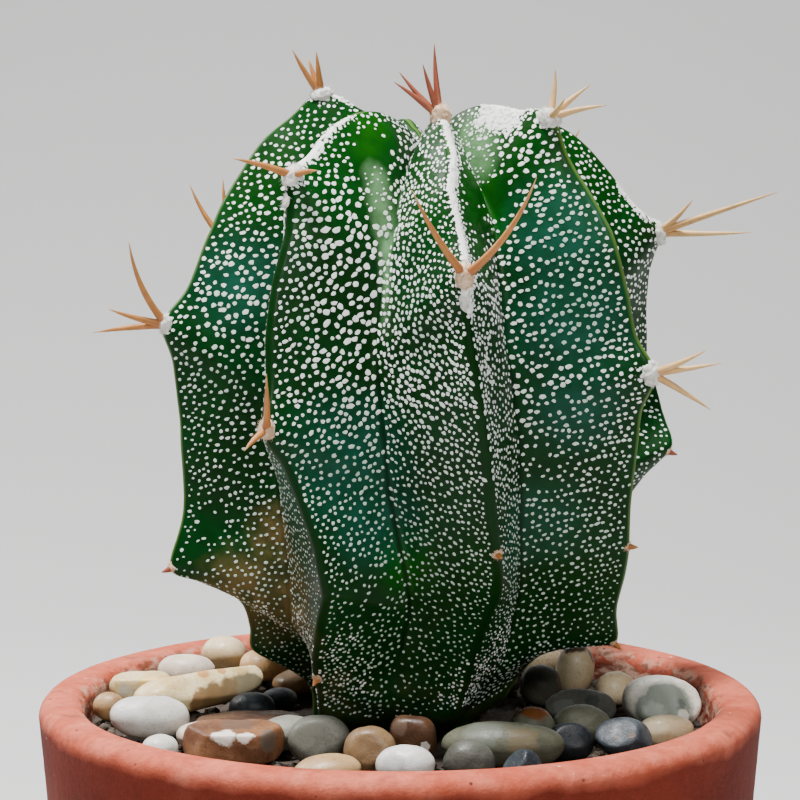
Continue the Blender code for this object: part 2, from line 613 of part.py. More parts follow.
def resting_height(stone, tree):
    """Lets a stone down until one more step would touch something, or gives None if it never fits."""
    x, y, thickness = stone[0], stone[1], stone[4]
    start = POT_HEIGHT + PEBBLE_DROP
    lowest = soil_level(x, y) + thickness / 2 - PEBBLE_PRESS - PEBBLE_DROP
    probe = make_pebble("probe", stone, start, GAP)
    points = [v.co.copy() for v in probe.data.vertices]
    faces = [tuple(f.vertices) for f in probe.data.polygons]
    bpy.data.objects.remove(probe, do_unlink=True)
    rest = None
    shift = 0.0
    while shift > lowest:
        moved = [p + Vector((0, 0, shift * MM)) for p in points]
        if not tree.overlap(BVHTree.FromPolygons(moved, faces)):
            rest = start + shift
        elif rest is not None:
            break
        shift -= PEBBLE_STEP
    return rest


def filler_stone(draw):
    """A stone for the parts of the bed that have no list, at a place drawn by chance."""
    radius = draw.uniform(*FILLER_RADII)
    bearing = draw.uniform(0, math.tau)
    size = [draw.uniform(*limits) for limits in FILLER_SIZES]
    turn = draw.uniform(0, 180)
    lean = draw.uniform(-FILLER_LEAN, FILLER_LEAN)
    kind = draw.choice(FILLER_KINDS)
    return (radius * math.cos(bearing), radius * math.sin(bearing), *size, turn, lean, kind)


def make_pebbles(around_them):
    """Lays the listed stones, then fillers, which are only kept where they reach the soil."""
    pebbles = []
    for stone in PEBBLES:
        rest = resting_height(stone, surface_tree(around_them + pebbles))
        if rest is None:
            raise ValueError(f"no room for stone {len(pebbles) + 1}")
        pebbles.append(make_pebble(f"pebble_{len(pebbles) + 1:02d}", stone, rest))
    draw = random.Random(FILLER_SEED)
    while len(pebbles) < len(PEBBLES) + FILLER_COUNT:
        stone = filler_stone(draw)
        on_soil = POT_HEIGHT + soil_level(stone[0], stone[1]) + stone[4] / 2
        rest = resting_height(stone, surface_tree(around_them + pebbles))
        if rest is not None and rest < on_soil + FILLER_LIFT:
            pebbles.append(make_pebble(f"pebble_{len(pebbles) + 1:02d}", stone, rest))
    return pebbles


def gravel_stone(draw):
    """A small coarse stone with its middle on the soil's surface, and the room that it needs."""
    radius = draw.uniform(*GRAVEL_RADII)
    bearing = draw.uniform(0, math.tau)
    x, y = radius * math.cos(bearing), radius * math.sin(bearing)
    bm = bmesh.new()
    bmesh.ops.create_icosphere(bm, subdivisions=1, radius=1)
    bmesh.ops.scale(bm, vec=[draw.uniform(*GRAVEL_RADIUS) for _ in range(3)], verts=bm.verts)
    bmesh.ops.rotate(bm, matrix=Matrix.Rotation(draw.uniform(0, math.tau), 3, "Z"), verts=bm.verts)
    middle = Vector((x, y, POT_HEIGHT + soil_level(x, y)))
    bmesh.ops.translate(bm, vec=middle, verts=bm.verts)
    stone = object_from(bm, "gravel")
    grown = [v.co + (v.co - middle * MM) * GRAVEL_ROOM for v in stone.data.vertices]
    return stone, BVHTree.FromPolygons(grown, [tuple(f.vertices) for f in stone.data.polygons])


def add_gravel(soil, others):
    """Raises small stones from the soil, half sunk in it, wherever a seeded draw finds room."""
    draw = random.Random(GRAVEL_SEED)
    stones = []
    while len(stones) < GRAVEL_COUNT:
        stone, grown = gravel_stone(draw)
        if surface_tree(others + stones).overlap(grown):
            bpy.data.objects.remove(stone, do_unlink=True)
        else:
            stones.append(stone)
    boolean_with(soil, stones, "UNION")


def main():
    clear_scene()
    pot = make_pot()
    soil = make_soil()
    stem = make_stem()
    make_areoles(stem)
    pebbles = make_pebbles([pot, soil, stem])
    add_gravel(soil, [pot, stem, *pebbles])


main()
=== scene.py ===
# %% [markdown]
# # A star cactus in a terracotta pot
#
# The plant has eight tall ribs. Each rib carries a row of areoles, which are felt pads with long spines,
# and its sides are dusted with thousands of small flecks of white felt. River pebbles cover the soil.
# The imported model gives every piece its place. This file gives each of them its finish and its fine shape.

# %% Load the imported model
import math
import random

import bmesh
import bpy
import numpy as np
from mathutils import Matrix, Vector, noise


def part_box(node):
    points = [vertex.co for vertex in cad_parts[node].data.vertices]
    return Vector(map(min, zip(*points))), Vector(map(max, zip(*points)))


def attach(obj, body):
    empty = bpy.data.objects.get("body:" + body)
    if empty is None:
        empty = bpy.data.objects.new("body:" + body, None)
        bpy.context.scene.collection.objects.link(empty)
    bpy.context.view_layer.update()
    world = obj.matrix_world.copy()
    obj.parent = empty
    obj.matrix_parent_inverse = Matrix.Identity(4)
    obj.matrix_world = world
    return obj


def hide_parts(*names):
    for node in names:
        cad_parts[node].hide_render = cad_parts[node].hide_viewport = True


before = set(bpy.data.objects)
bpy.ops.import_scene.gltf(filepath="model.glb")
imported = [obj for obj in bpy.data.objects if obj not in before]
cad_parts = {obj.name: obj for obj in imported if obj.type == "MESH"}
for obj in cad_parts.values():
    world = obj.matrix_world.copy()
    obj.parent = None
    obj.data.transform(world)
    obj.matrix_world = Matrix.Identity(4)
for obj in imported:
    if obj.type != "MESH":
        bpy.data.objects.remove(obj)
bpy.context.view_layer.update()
MM = 0.001
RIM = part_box("pot")[1].z / MM
print(f"{len(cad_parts)} nodes, and the pot's rim is {RIM:.1f} mm up")

# %% [markdown]
# The lens is long, about 134 mm on a full-frame camera, and half a metre away. It looks down a little.
# A long lens keeps the near and the far ribs at nearly the same scale, as in a plant portrait.

# %% The camera
CAMERA_DISTANCE = 488.5
CAMERA_ABOVE_RIM = 106.5
CAMERA_DIP = 6.7
camera_data = bpy.data.cameras.new("portrait_lens")
camera_data.sensor_width = 36
camera_data.lens = 134.35
camera_data.clip_start = 0.01
camera = bpy.data.objects.new("portrait_camera", camera_data)
camera.location = Vector((0, -CAMERA_DISTANCE, RIM + CAMERA_ABOVE_RIM)) * MM
camera.rotation_euler = (math.radians(90 - CAMERA_DIP), 0, 0)
bpy.context.scene.collection.objects.link(camera)
bpy.context.scene.camera = camera
print(f"lens {camera_data.lens} mm at {CAMERA_DISTANCE} mm")

# %% [markdown]
# The backdrop and every later piece need a material, and an object that is linked to the scene. A number or a
# colour that is the same all over goes straight on the shader's socket, and only what varies is a link.

# %% First helpers
def new_material(name, **numbers):
    """A material with plain numbers on its shader, given as Socket_Name=value."""
    made = bpy.data.materials.new(name)
    made.use_nodes = True
    shader = made.node_tree.nodes["Principled BSDF"]
    for socket, value in numbers.items():
        shader.inputs[socket.replace("_", " ")].default_value = value
    return made, made.node_tree, shader


def feed(tree, socket, value):
    """Links a node's output to a socket, or sets the socket to a plain value."""
    if isinstance(value, bpy.types.NodeSocket):
        tree.links.new(value, socket)
    elif isinstance(value, tuple) and len(value) == 3 and socket.type == "RGBA":
        socket.default_value = (*value, 1)
    else:
        socket.default_value = value


def linked(bm, name, skin, smooth=True):
    """Turns a bmesh into an object of the scene with one material."""
    mesh = bpy.data.meshes.new(name)
    bm.to_mesh(mesh)
    bm.free()
    if smooth:
        mesh.shade_smooth()
    mesh.materials.append(skin)
    made = bpy.data.objects.new(name, mesh)
    bpy.context.scene.collection.objects.link(made)
    return made


print("first helpers ready")

# %% [markdown]
# A pale floor runs back into a pale wall through a wide curve, so that no horizon line shows. The main light
# is a soft panel high above and a little to the left, as the sun stood. A weak one in front and to the right
# keeps the shaded ribs from going black, and one behind picks out the ribs' edges and the felt.

# %% Floor and lights
FLOOR_START = -1.6
FLOOR_RUN = 2.2
CURVE_RUN = 1.2
CURVE_RADIUS = 0.75
HALF_WIDTH = 4


def make_backdrop():
    bm = bmesh.new()
    bmesh.ops.create_grid(bm, x_segments=2, y_segments=60, size=1)
    for v in bm.verts:
        run = (v.co.y + 1) * FLOOR_RUN
        bend = min(max(run - FLOOR_RUN, 0) / CURVE_RUN, 1) * math.pi / 2
        rise = max(run - FLOOR_RUN - CURVE_RUN, 0)
        back = FLOOR_START + min(run, FLOOR_RUN) + CURVE_RADIUS * math.sin(bend)
        v.co = (v.co.x * HALF_WIDTH, back, CURVE_RADIUS * (1 - math.cos(bend)) + rise)
    paper, tree, shader = new_material("pale_paper", Roughness=0.9)
    feed(tree, shader.inputs["Base Color"], (0.60, 0.60, 0.59))
    backdrop = linked(bm, "backdrop", paper)


def soft_light(name, place, power, size):
    data = bpy.data.lights.new(name, "AREA")
    data.energy = power
    data.shape = "DISK"
    data.size = size
    light = bpy.data.objects.new(name, data)
    light.location = place
    aim = Vector((0, 0, (RIM + 30) * MM)) - light.location
    light.rotation_mode = "QUATERNION"
    light.rotation_quaternion = aim.to_track_quat("-Z", "Y")
    bpy.context.scene.collection.objects.link(light)


make_backdrop()
soft_light("sky_panel", (-0.18, -0.08, 1.20), power=36, size=0.20)
soft_light("window", (0.34, -0.98, 0.75), power=6.5, size=0.30)
soft_light("edge_light", (-0.60, 0.45, 0.70), power=6, size=0.30)
world = bpy.data.worlds.new("studio_air")
world.use_nodes = True
world.node_tree.nodes["Background"].inputs["Color"].default_value = (0.85, 0.9, 1, 1)
world.node_tree.nodes["Background"].inputs["Strength"].default_value = 0.14
bpy.context.scene.world = world
print("one backdrop, three soft lights")

# %% [markdown]
# Most finishes below are a few noise textures mixed by their strength, so a handful of helpers keep each
# recipe short. Sizes are given in millimetres, because that is how a surface's grain is judged by eye.

# %% Helpers for materials
def grain(tree, size, detail=3.0, stretch=(1, 1, 1)):
    """Noise from 0 to 1 whose blotches are about size millimetres across."""
    place = tree.nodes.new("ShaderNodeTexCoord")
    mapping = tree.nodes.new("ShaderNodeMapping")
    mapping.inputs["Scale"].default_value = stretch
    tree.links.new(place.outputs["Object"], mapping.inputs["Vector"])
    made = tree.nodes.new("ShaderNodeTexNoise")
    tree.links.new(mapping.outputs["Vector"], made.inputs["Vector"])
    made.inputs["Scale"].default_value = 1 / (size * MM)
    made.inputs["Detail"].default_value = detail
    return made.outputs[0]


def cells(tree, size):
    """Distance from the middle of rounded cells about size millimetres across."""
    place = tree.nodes.new("ShaderNodeTexCoord")
    made = tree.nodes.new("ShaderNodeTexVoronoi")
    tree.links.new(place.outputs["Object"], made.inputs["Vector"])
    made.inputs["Scale"].default_value = 1 / (size * MM)
    return made.outputs[0]


def attribute(tree, name):
    """A number kept on the piece's own corners."""
    made = tree.nodes.new("ShaderNodeAttribute")
    made.attribute_name = name
    return made.outputs["Fac"]


def spread(tree, value, low, high, start=0.0, end=1.0):
    """Stretches the part of a value from low to high over start to end, and holds it there beyond."""
    made = tree.nodes.new("ShaderNodeMapRange")
    for socket, number in zip(list(made.inputs)[:5], (value, low, high, start, end)):
        feed(tree, socket, number)
    return made.outputs[0]


def calculate(tree, operation, a, b=0.5):
    """One step of arithmetic, such as ADD or MULTIPLY."""
    made = tree.nodes.new("ShaderNodeMath")
    made.operation = operation
    feed(tree, made.inputs[0], a)
    feed(tree, made.inputs[1], b)
    return made.outputs[0]


def blend(tree, amount, under, over, mode="MIX"):
    """A colour laid over another by an amount from 0 to 1."""
    made = tree.nodes.new("ShaderNodeMix")
    made.data_type = "RGBA"
    made.blend_type = mode
    feed(tree, made.inputs[0], amount)
    feed(tree, made.inputs[6], under)
    feed(tree, made.inputs[7], over)
    return made.outputs[2]


def overlay(tree, tone, amount, where, colour):
    """A colour laid over a tone by an amount that also depends on the place."""
    return blend(tree, calculate(tree, "MULTIPLY", amount, where), tone, colour)


def relief(tree, height, depth, under=None):
    """A bump whose full height is depth millimetres."""
    made = tree.nodes.new("ShaderNodeBump")
    made.inputs["Distance"].default_value = depth * MM
    feed(tree, made.inputs["Height"], height)
    if under:
        tree.links.new(under, made.inputs["Normal"])
    return made.outputs[0]


print("material helpers ready")

# %% [markdown]
# Every shape is drawn in millimetres and turned into metres at the very end, when it becomes a piece that
# rides on the part's one body. The pot and the soil are both round, so one helper spins a profile for both.

# %% Helpers for meshes
def finish_bmesh(bm, name, skin, replaces=(), smooth=True):
    """Turns a bmesh drawn in millimetres into a piece of the object."""
    bmesh.ops.scale(bm, vec=(MM, MM, MM), verts=bm.verts)
    bmesh.ops.recalc_face_normals(bm, faces=bm.faces)
    piece = linked(bm, name, skin, smooth)
    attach(piece, "root")
    if replaces:
        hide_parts(*replaces)
    return piece


def spun(profile, sides):
    """A closed profile of (radius, height) points, turned all the way round the upright axis."""
    bm = bmesh.new()
    corners = [bm.verts.new((r, 0, z)) for r, z in profile]
    edges = [bm.edges.new(pair) for pair in zip(corners, corners[1:] + corners[:1])]
    bmesh.ops.spin(bm, geom=corners + edges, axis=(0, 0, 1), cent=(0, 0, 0), steps=sides,
                   angle=math.tau, use_merge=True)
    return bm


print("mesh helpers ready")

# %% [markdown]
# The pot is round, so one profile spun about its axis makes all of it. The CAD pot has broad flat sides and
# this one has 160 narrow ones, with the same profile but rounder edges and faint rings from the throwing.

# %% The pot's shape
POT_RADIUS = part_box("pot")[1].x / MM
RIM_WIDTH = 7.6
RIM_ROUNDING = 2.6
COLLAR_HEIGHT = 27.0
COLLAR_TAPER = 2.0
COLLAR_STEP = 3.6
BASE_RADIUS = 39.0
FLOOR_THICKNESS = 7.0
INNER_BASE_RADIUS = 33.0
DRAIN_RADIUS = 6.0
HEEL_ROUNDING = 1.2
LIP_ROUNDING = 1.1
UNDERCUT = 0.9
POT_SIDES = 160
RING_SPACING = 1.7
RING_DEPTH = 0.05
WARP_WIDTH = 23
WARP_DEPTH = 0.12
WALL_WEAR = 0.15
FULL_WEAR_HEIGHT = 5
INSIDE_MARGIN = 1.4


def rounded(middle_radius, middle_height, radius, start, end, steps):
    """Points (radius, height) along a rounded edge, with angles in degrees from outwards to up."""
    angles = np.radians(np.linspace(start, end, steps + 1))
    return [(middle_radius + radius * math.cos(a), middle_height + radius * math.sin(a)) for a in angles]


def straight(start, end, steps):
    """Points between two corners, without the corners themselves."""
    shares = np.linspace(0, 1, steps + 2)[1:-1]
    return [tuple(np.array(start) * (1 - t) + np.array(end) * t) for t in shares]


def pot_profile():
    top = RIM - RIM_ROUNDING
    collar_base = RIM - COLLAR_HEIGHT
    collar = POT_RADIUS - COLLAR_TAPER
    neck = (collar - COLLAR_STEP, collar_base - UNDERCUT)
    heel = rounded(BASE_RADIUS - HEEL_ROUNDING, HEEL_ROUNDING, HEEL_ROUNDING, -90, -10, 4)
    lip = rounded(collar - LIP_ROUNDING, collar_base + LIP_ROUNDING, LIP_ROUNDING, -90, 0, 4)
    outer = rounded(POT_RADIUS - RIM_ROUNDING, top, RIM_ROUNDING, 0, 90, 8)
    inner = rounded(POT_RADIUS - RIM_WIDTH + RIM_ROUNDING, top, RIM_ROUNDING, 90, 180, 8)
    foot = (INNER_BASE_RADIUS, FLOOR_THICKNESS)
    profile = [(DRAIN_RADIUS, 0)] + straight((DRAIN_RADIUS, 0), heel[0], 5) + heel
    profile += straight(heel[-1], neck, 40) + [neck] + lip + straight(lip[-1], outer[0], 16) + outer
    profile += inner + straight(inner[-1], foot, 30) + [foot] + [(DRAIN_RADIUS, FLOOR_THICKNESS)]
    return profile


def inner_wall(height):
    """Radius of the pot's inner wall at a height over the ground."""
    share = (height - FLOOR_THICKNESS) / (RIM - RIM_ROUNDING - FLOOR_THICKNESS)
    return INNER_BASE_RADIUS + share * (POT_RADIUS - RIM_WIDTH - INNER_BASE_RADIUS)


def make_pot(skin):
    bm = spun(pot_profile(), POT_SIDES)
    inside = bm.verts.layers.float.new("inside")
    for v in bm.verts:
        depth = inner_wall(v.co.z) + INSIDE_MARGIN - math.hypot(v.co.x, v.co.y)
        v[inside] = min(1, max(0, depth)) if v.co.z > FLOOR_THICKNESS else 0
        rings = noise.noise(Vector((v.co.x / 60, v.co.y / 60, v.co.z / RING_SPACING))) * RING_DEPTH
        wobble = noise.noise(v.co / WARP_WIDTH) * WARP_DEPTH + rings
        inward = Vector((v.co.x, v.co.y, 0)).normalized()
        v.co -= inward * (WALL_WEAR + wobble) * min(1, v.co.z / FULL_WEAR_HEIGHT)
    return finish_bmesh(bm, "pot_thrown", skin, ["pot"])


print(f"a profile of {len(pot_profile())} points")

# %% [markdown]
# Fired clay is matt and never one colour: the iron in it burns to salmon, with paler bloom where salts dry,
# darker damp stains and a fine grit. Noises of falling size carry that, and specks and pits are cells whose
# middles are kept and the rest thrown away. Inside, hard water and damp soil have left pale scale and dark
# stains, so the pot's mesh says by a number where its inner wall is.

# %% The pot's clay
def level(tree):
    """Height over the ground in millimetres."""
    place = tree.nodes.new("ShaderNodeTexCoord")
    split = tree.nodes.new("ShaderNodeSeparateXYZ")
    tree.links.new(place.outputs["Object"], split.inputs[0])
    return calculate(tree, "MULTIPLY", split.outputs["Z"], 1 / MM)


def clay_material():
    made, tree, shader = new_material("terracotta_clay", Roughness=0.75)
    shader.inputs["Specular IOR Level"].default_value = 0.12
    mottle = spread(tree, grain(tree, 20, 4), 0.35, 0.66)
    # The wall's dark red is painted shade, and the paler salmon of the rim above it is painted light.
    wall = blend(tree, mottle, (0.095, 0.011, 0.005), (0.15, 0.019, 0.008))
    rim = blend(tree, spread(tree, grain(tree, 7, 5), 0.35, 0.68), (0.46, 0.088, 0.044), (0.58, 0.145, 0.085))
    uneven = spread(tree, grain(tree, 9, 5), 0.3, 0.7, -0.7, 0.7)
    # From 0 on the wall in painted shade to 1 on the rim in painted light, along an uneven line.
    edge = spread(tree, calculate(tree, "ADD", level(tree), uneven), RIM - 3.6, RIM - 1.0)
    tone = blend(tree, edge, wall, rim)
    tone = blend(tree, spread(tree, grain(tree, 1.4, 5), 0.35, 0.75, 0.0, 0.4), tone, (0.19, 0.026, 0.013))
    # Salt bloom, kept faint on the wall so that its painted shade stays dark.
    bloom = spread(tree, grain(tree, 6, 6), 0.58, 0.8, 0.0, 0.4)
    tone = overlay(tree, tone, bloom, spread(tree, edge, 0, 1, 0.1, 1), (0.66, 0.27, 0.18))
    stains = spread(tree, grain(tree, 5, 6, (1, 1, 3)), 0.60, 0.72, 0.0, 0.55)
    tone = overlay(tree, tone, stains, edge, (0.17, 0.045, 0.03))
    inside = attribute(tree, "inside")
    scale = spread(tree, grain(tree, 4, 6, (1, 1, 2.5)), 0.46, 0.6, 0.0, 0.7)
    tone = overlay(tree, tone, scale, inside, (0.50, 0.33, 0.24))
    damp = spread(tree, grain(tree, 2.3, 6, (1, 1, 2)), 0.52, 0.62, 0.0, 0.75)
    tone = overlay(tree, tone, damp, inside, (0.13, 0.05, 0.03))
    specks = spread(tree, cells(tree, 2.6), 0.07, 0.13, 1.0, 0.0)
    tone = overlay(tree, tone, specks, spread(tree, grain(tree, 5, 2), 0.6, 0.66), (0.80, 0.62, 0.54))
    pits = spread(tree, cells(tree, 3.7), 0.05, 0.1, 1.0, 0.0)
    tone = overlay(tree, tone, pits, spread(tree, grain(tree, 7, 2), 0.48, 0.55), (0.09, 0.02, 0.012))
    feed(tree, shader.inputs["Base Color"], tone)
    fine = relief(tree, grain(tree, 0.5, 6), 0.14)
    feed(tree, shader.inputs["Normal"], relief(tree, grain(tree, 3.0, 5), 0.22, fine))
    return made


pot = make_pot(clay_material())
print(f"pot: {len(pot.data.polygons)} faces")

# %% [markdown]
# Eight ribs, each with its own outline. A rib is given by its crest seen from the side, as radius and height,
# and by the way the crest turns round the plant on its way up. Between two crests lies a valley. Two curves
# and a puffed-out side between them are enough to describe the whole stem, and the same numbers shape the
# CAD. All are in millimetres and degrees, and heights are over the pot's rim.

# %% The ribs
PLANT_BACK = 4.0
AXIS = [(0, -2.0), (20, 1.0), (45, 3.0), (62, 3.5), (78, 5.0), (95, 4.0)]
CREST_TOP = [(0, 89), (5, 94), (13, 96.8), (20, 95.6), (25.5, 92.5), (31, 86), (35.8, 78), (39.3, 67.5),
             (41, 56)]
VALLEY_TOP = [(0, 89), (7, 88.6), (14, 85.5), (20.5, 79), (24.5, 70), (27, 57), (27.6, 46), (26.8, 33)]
VALLEY_FOOT = [(25.6, 22), (23.8, 14)]
VALLEY_ANKLE = (22.5, 7)
FOOT_WIDE = [(40, 44), (38.5, 32), (36, 20), (32, 13), (26, 8.5), (18, 5), (13.5, 1)]
FOOT_LEFT = [(40, 46), (38.6, 32), (40.2, 22.5), (35, 19.8), (28, 16.5), (25.5, 12), (24.5, 8), (19, 5),
             (13.5, 1.5)]
FOOT_FRONT_LEFT = [(40.2, 46), (38, 31), (36.5, 21), (31.5, 12), (28, 7), (25.5, 3), (23, -1)]
FOOT_FRONT = [(40, 44), (38.6, 33), (36.5, 25), (31, 17), (27.5, 11), (25.5, 5), (23, -1)]
FOOT_RIGHT = [(40, 44), (38.6, 33), (38.2, 25), (36.6, 16), (36.8, 9.5), (30, 9), (25, 7), (21.5, 3),
              (19.5, -1)]
FOOT_FAR_RIGHT = [(41.5, 46), (42.5, 40.5), (38, 35), (35, 29), (33, 19), (30, 12), (24, 7), (17, 3),
                  (13.5, 0)]
NECK = [(13.0, -6.0), (13.0, -11.0), (9, -16.5), (0, -19)]
RIBS = [
    dict(name="A", turn=[(20, -73), (70, -76), (95, -86)], foot=FOOT_LEFT, drop=0.0, reach=1.0,
         bulge=1.0, spined=[(16.5, 96.6), (41, 62)], worn=[(40.2, 22.5)]),
    dict(name="B", turn=[(8, -26), (22, -20), (30, -23), (46, -33), (70, -38), (90, -40)], reach=1.0,
         foot=FOOT_FRONT_LEFT, drop=0.2, bulge=1.2, spined=[(31.5, 85.6), (40.3, 48.5)], worn=[(28, 7)]),
    dict(name="C", turn=[(8, 27), (22, 24), (35, 18), (53, 12.5), (70, 8), (85, 5.5), (91, 9)], reach=1.0,
         foot=FOOT_FRONT, drop=3.5, bulge=0.8, spined=[(15.5, 96.8), (38.3, 72)], worn=[(37.6, 29)]),
    dict(name="D", turn=[(9, 76), (27, 67), (40, 62), (55, 57), (80, 51), (96, 48)], reach=1.0,
         foot=FOOT_RIGHT, drop=-0.8, bulge=1.1, spined=[(25, 93.5), (41, 55.5)],
         worn=[(38.2, 26.5), (36.8, 9.5)]),
    dict(name="E", turn=[(20, 96), (41, 93), (54, 112), (64, 110), (80, 102)], foot=FOOT_FAR_RIGHT,
         drop=0.8, reach=1.01, bulge=0.9, spined=[(36.5, 75)], worn=[(41, 40.5)]),
    dict(name="F", turn=[(10, 150), (90, 146)], foot=FOOT_WIDE, drop=3.0, reach=0.98, bulge=1.0,
         spined=[(34, 82), (40, 55)], worn=[(38, 29)]),
    dict(name="G", turn=[(10, 198), (90, 193)], foot=FOOT_WIDE, drop=2.0, reach=1.0, bulge=1.1,
         spined=[(33, 84), (40.5, 58)], worn=[(39, 34)]),
    dict(name="H", turn=[(10, 229), (60, 236), (90, 241)], foot=FOOT_WIDE, drop=2.0, reach=1.0, bulge=0.9,
         spined=[(37.4, 72.5), (39, 37)], worn=[(36, 19)]),
]
print(f"{len(RIBS)} ribs")

# %% [markdown]
# A smooth curve through a few points is the plainest way to hold an outline. The cubic curve used here passes
# through each of its points, so a point can be read off the real plant and moved by itself.

# %% Outlines
STEPS_PER_POINT = 12


def smooth_curve(points, count):
    """Even steps along a smooth curve through the points."""
    p = np.array(points, float)
    p = np.vstack([2 * p[0] - p[1], p, 2 * p[-1] - p[-2]])
    t = np.linspace(0, 1, STEPS_PER_POINT, endpoint=False)[:, None]
    runs = []
    for a, b, c, d in zip(p, p[1:], p[2:], p[3:]):
        bend = (2 * a - 5 * b + 4 * c - d) * t**2 + (3 * b - a - 3 * c + d) * t**3
        runs.append(b + ((c - a) * t + bend) / 2)
    curve = np.vstack([*runs, p[-2]])
    curve[:, 0] = np.maximum(curve[:, 0], 0)
    steps = np.linalg.norm(np.diff(curve, axis=0), axis=1)
    along = np.concatenate([[0], np.cumsum(steps)])
    wanted = np.linspace(0, along[-1], count)
    return np.stack([np.interp(wanted, along, curve[:, 0]), np.interp(wanted, along, curve[:, 1])], axis=1)


def fitted(rib, outline):
    """The shared outline with a rib's own reach, and its own height at the top."""
    fit = np.array(outline, float)
    fit[:, 1] -= rib["drop"] * np.interp(fit[:, 1], (70, 95), (0, 1)) * np.interp(fit[:, 0], (0, 8), (0, 1))
    fit[:, 0] *= np.interp(fit[:, 1], (42, 55), (1, rib["reach"]))
    return fit


AREOLE_SWELL = 2.8
AREOLE_SWELL_REACH = 4.2


def crest_outline(rib, count):
    """A crest, which swells under each areole that has spines."""
    curve = fitted(rib, smooth_curve(CREST_TOP + rib["foot"] + NECK, count))
    run = np.gradient(curve, axis=0)
    out = np.stack([-run[:, 1], run[:, 0]], axis=1) / np.linalg.norm(run, axis=1)[:, None]
    push = np.zeros(count)
    for areole in fitted(rib, rib["spined"]):
        distance = np.linalg.norm(curve - areole, axis=1)
        push = np.maximum(push, AREOLE_SWELL * np.exp(-((distance / AREOLE_SWELL_REACH) ** 2)))
    return curve + out * push[:, None]


def valley_outline(left, right, count):
    """The groove between two ribs, which ends as far in as the shorter of their feet."""
    inner = min(left["foot"][-1], right["foot"][-1])[0]
    ankle = [(min(VALLEY_ANKLE[0], 1.15 * inner), VALLEY_ANKLE[1]), (0.94 * inner, 1)]
    return smooth_curve(VALLEY_TOP + VALLEY_FOOT + ankle + NECK, count)


def turn_at(rib, heights):
    """How far a rib's crest is turned round the plant at each height, in radians."""
    return np.radians(np.interp(heights, *zip(*rib["turn"])))


def around(turn, outline):
    """Points in space for an outline turned round the plant's leaning axis."""
    lean = np.interp(outline[:, 1], *zip(*AXIS))
    x = lean + outline[:, 0] * np.sin(turn)
    y = PLANT_BACK - outline[:, 0] * np.cos(turn)
    return np.stack([x, y, outline[:, 1] + RIM], axis=1)


print("outlines ready")

# %% [markdown]
# An areole is a small cushion of wool from which the spines grow. Its place is found on the crest by the same
# numbers as the rib, and its frame says which way is out of the plant and which way runs along the crest.

# %% Areole frames
AREOLE_STEP = 6
FINE_RINGS = 400


def areole_frames(rib, kind):
    """Places, outward directions and directions along the crest of a rib's areoles, top first."""
    outline = crest_outline(rib, FINE_RINGS)
    turns = turn_at(rib, outline[:, 1])
    line = around(turns, outline)
    found = []
    for spot in fitted(rib, rib[kind]):
        k = int(np.argmin(np.linalg.norm(outline - spot, axis=1)))
        run = Vector(outline[k + AREOLE_STEP] - outline[k - AREOLE_STEP]).normalized()
        outward = Vector((-run.y * math.sin(turns[k]), run.y * math.cos(turns[k]), run.x))
        along = Vector((run.x * math.sin(turns[k]), -run.x * math.cos(turns[k]), run.y))
        found.append((Vector(line[k]), outward, along))
    return found


def labelled(kind):
    """A table of all areoles of a kind by label, such as B2 for the second from the top of rib B."""
    return {f"{rib['name']}{n + 1}": spot for rib in RIBS for n, spot in enumerate(areole_frames(rib, kind))}


areoles, nubs = labelled("spined"), labelled("worn")
print(f"{len(areoles)} areoles with spines, {len(nubs)} worn ones")

# %% [markdown]
# Each side of a rib is a sheet between its crest and a valley. Sheets are kept as arrays of points, because
# the flecks need to be laid over the same surface later. RINGS run down the stem and STEPS run across a side,
# closer together near the crest, where the felt is.

# %% The sides of the ribs
RINGS = 240
STEPS = (np.arange(15) / 14) ** 1.35
RIDGE_HALF_WIDTH = 0.65
RIDGE_HEIGHT = 0.3


def rib_sides():
    """Ridges, one line each, and sides as arrays [step, ring, xyz] from the ridge's edge to the valley."""
    crest_lines = [crest_outline(rib, RINGS) for rib in RIBS]
    turns = [turn_at(rib, line[:, 1]) for rib, line in zip(RIBS, crest_lines)]
    turns.append(turns[0] + math.tau)
    valleys = []
    for k, rib in enumerate(RIBS):
        following = RIBS[(k + 1) % len(RIBS)]
        valleys.append(around((turns[k] + turns[k + 1]) / 2, valley_outline(rib, following, RINGS)))
    ridges, sides = [], {}
    for k, rib in enumerate(RIBS):
        crest = around(turns[k], crest_lines[k])
        turn = turns[k][:, None]
        across = np.hstack([np.cos(turn), np.sin(turn), np.zeros_like(turn)])
        outwards = np.hstack([np.sin(turn), -np.cos(turn), np.zeros_like(turn)])
        size = np.clip(crest_lines[k][:, :1] / 12, 0, 1)
        ridges.append(crest + outwards * RIDGE_HEIGHT * size)
        sides[k, -1] = puffed(crest, valleys[k - 1], -across, rib["bulge"], size)
        sides[k, 1] = puffed(crest, valleys[k], across, rib["bulge"], size)
    return ridges, sides


def puffed(crest, valley, across, bulge, size):
    """A side that bows out between a crest and a valley."""
    edge = crest + across * RIDGE_HALF_WIDTH * size
    chord = valley - edge
    length = np.maximum(np.linalg.norm(chord, axis=1, keepdims=True), 1e-6)
    run = chord / length
    outwards = across - run * np.sum(across * run, axis=1, keepdims=True)
    puff = bulge * np.interp(crest[:, 2:] - RIM, (51, 90), (0.35, 1)) * np.clip(length / 12, 0, 1)
    return np.array([edge + chord * t + outwards * puff * 4 * t * (1 - t) for t in STEPS])


ridges, sides = rib_sides()
print(f"{len(sides)} sides of {sides[0, 1].shape[0]} by {RINGS} points")
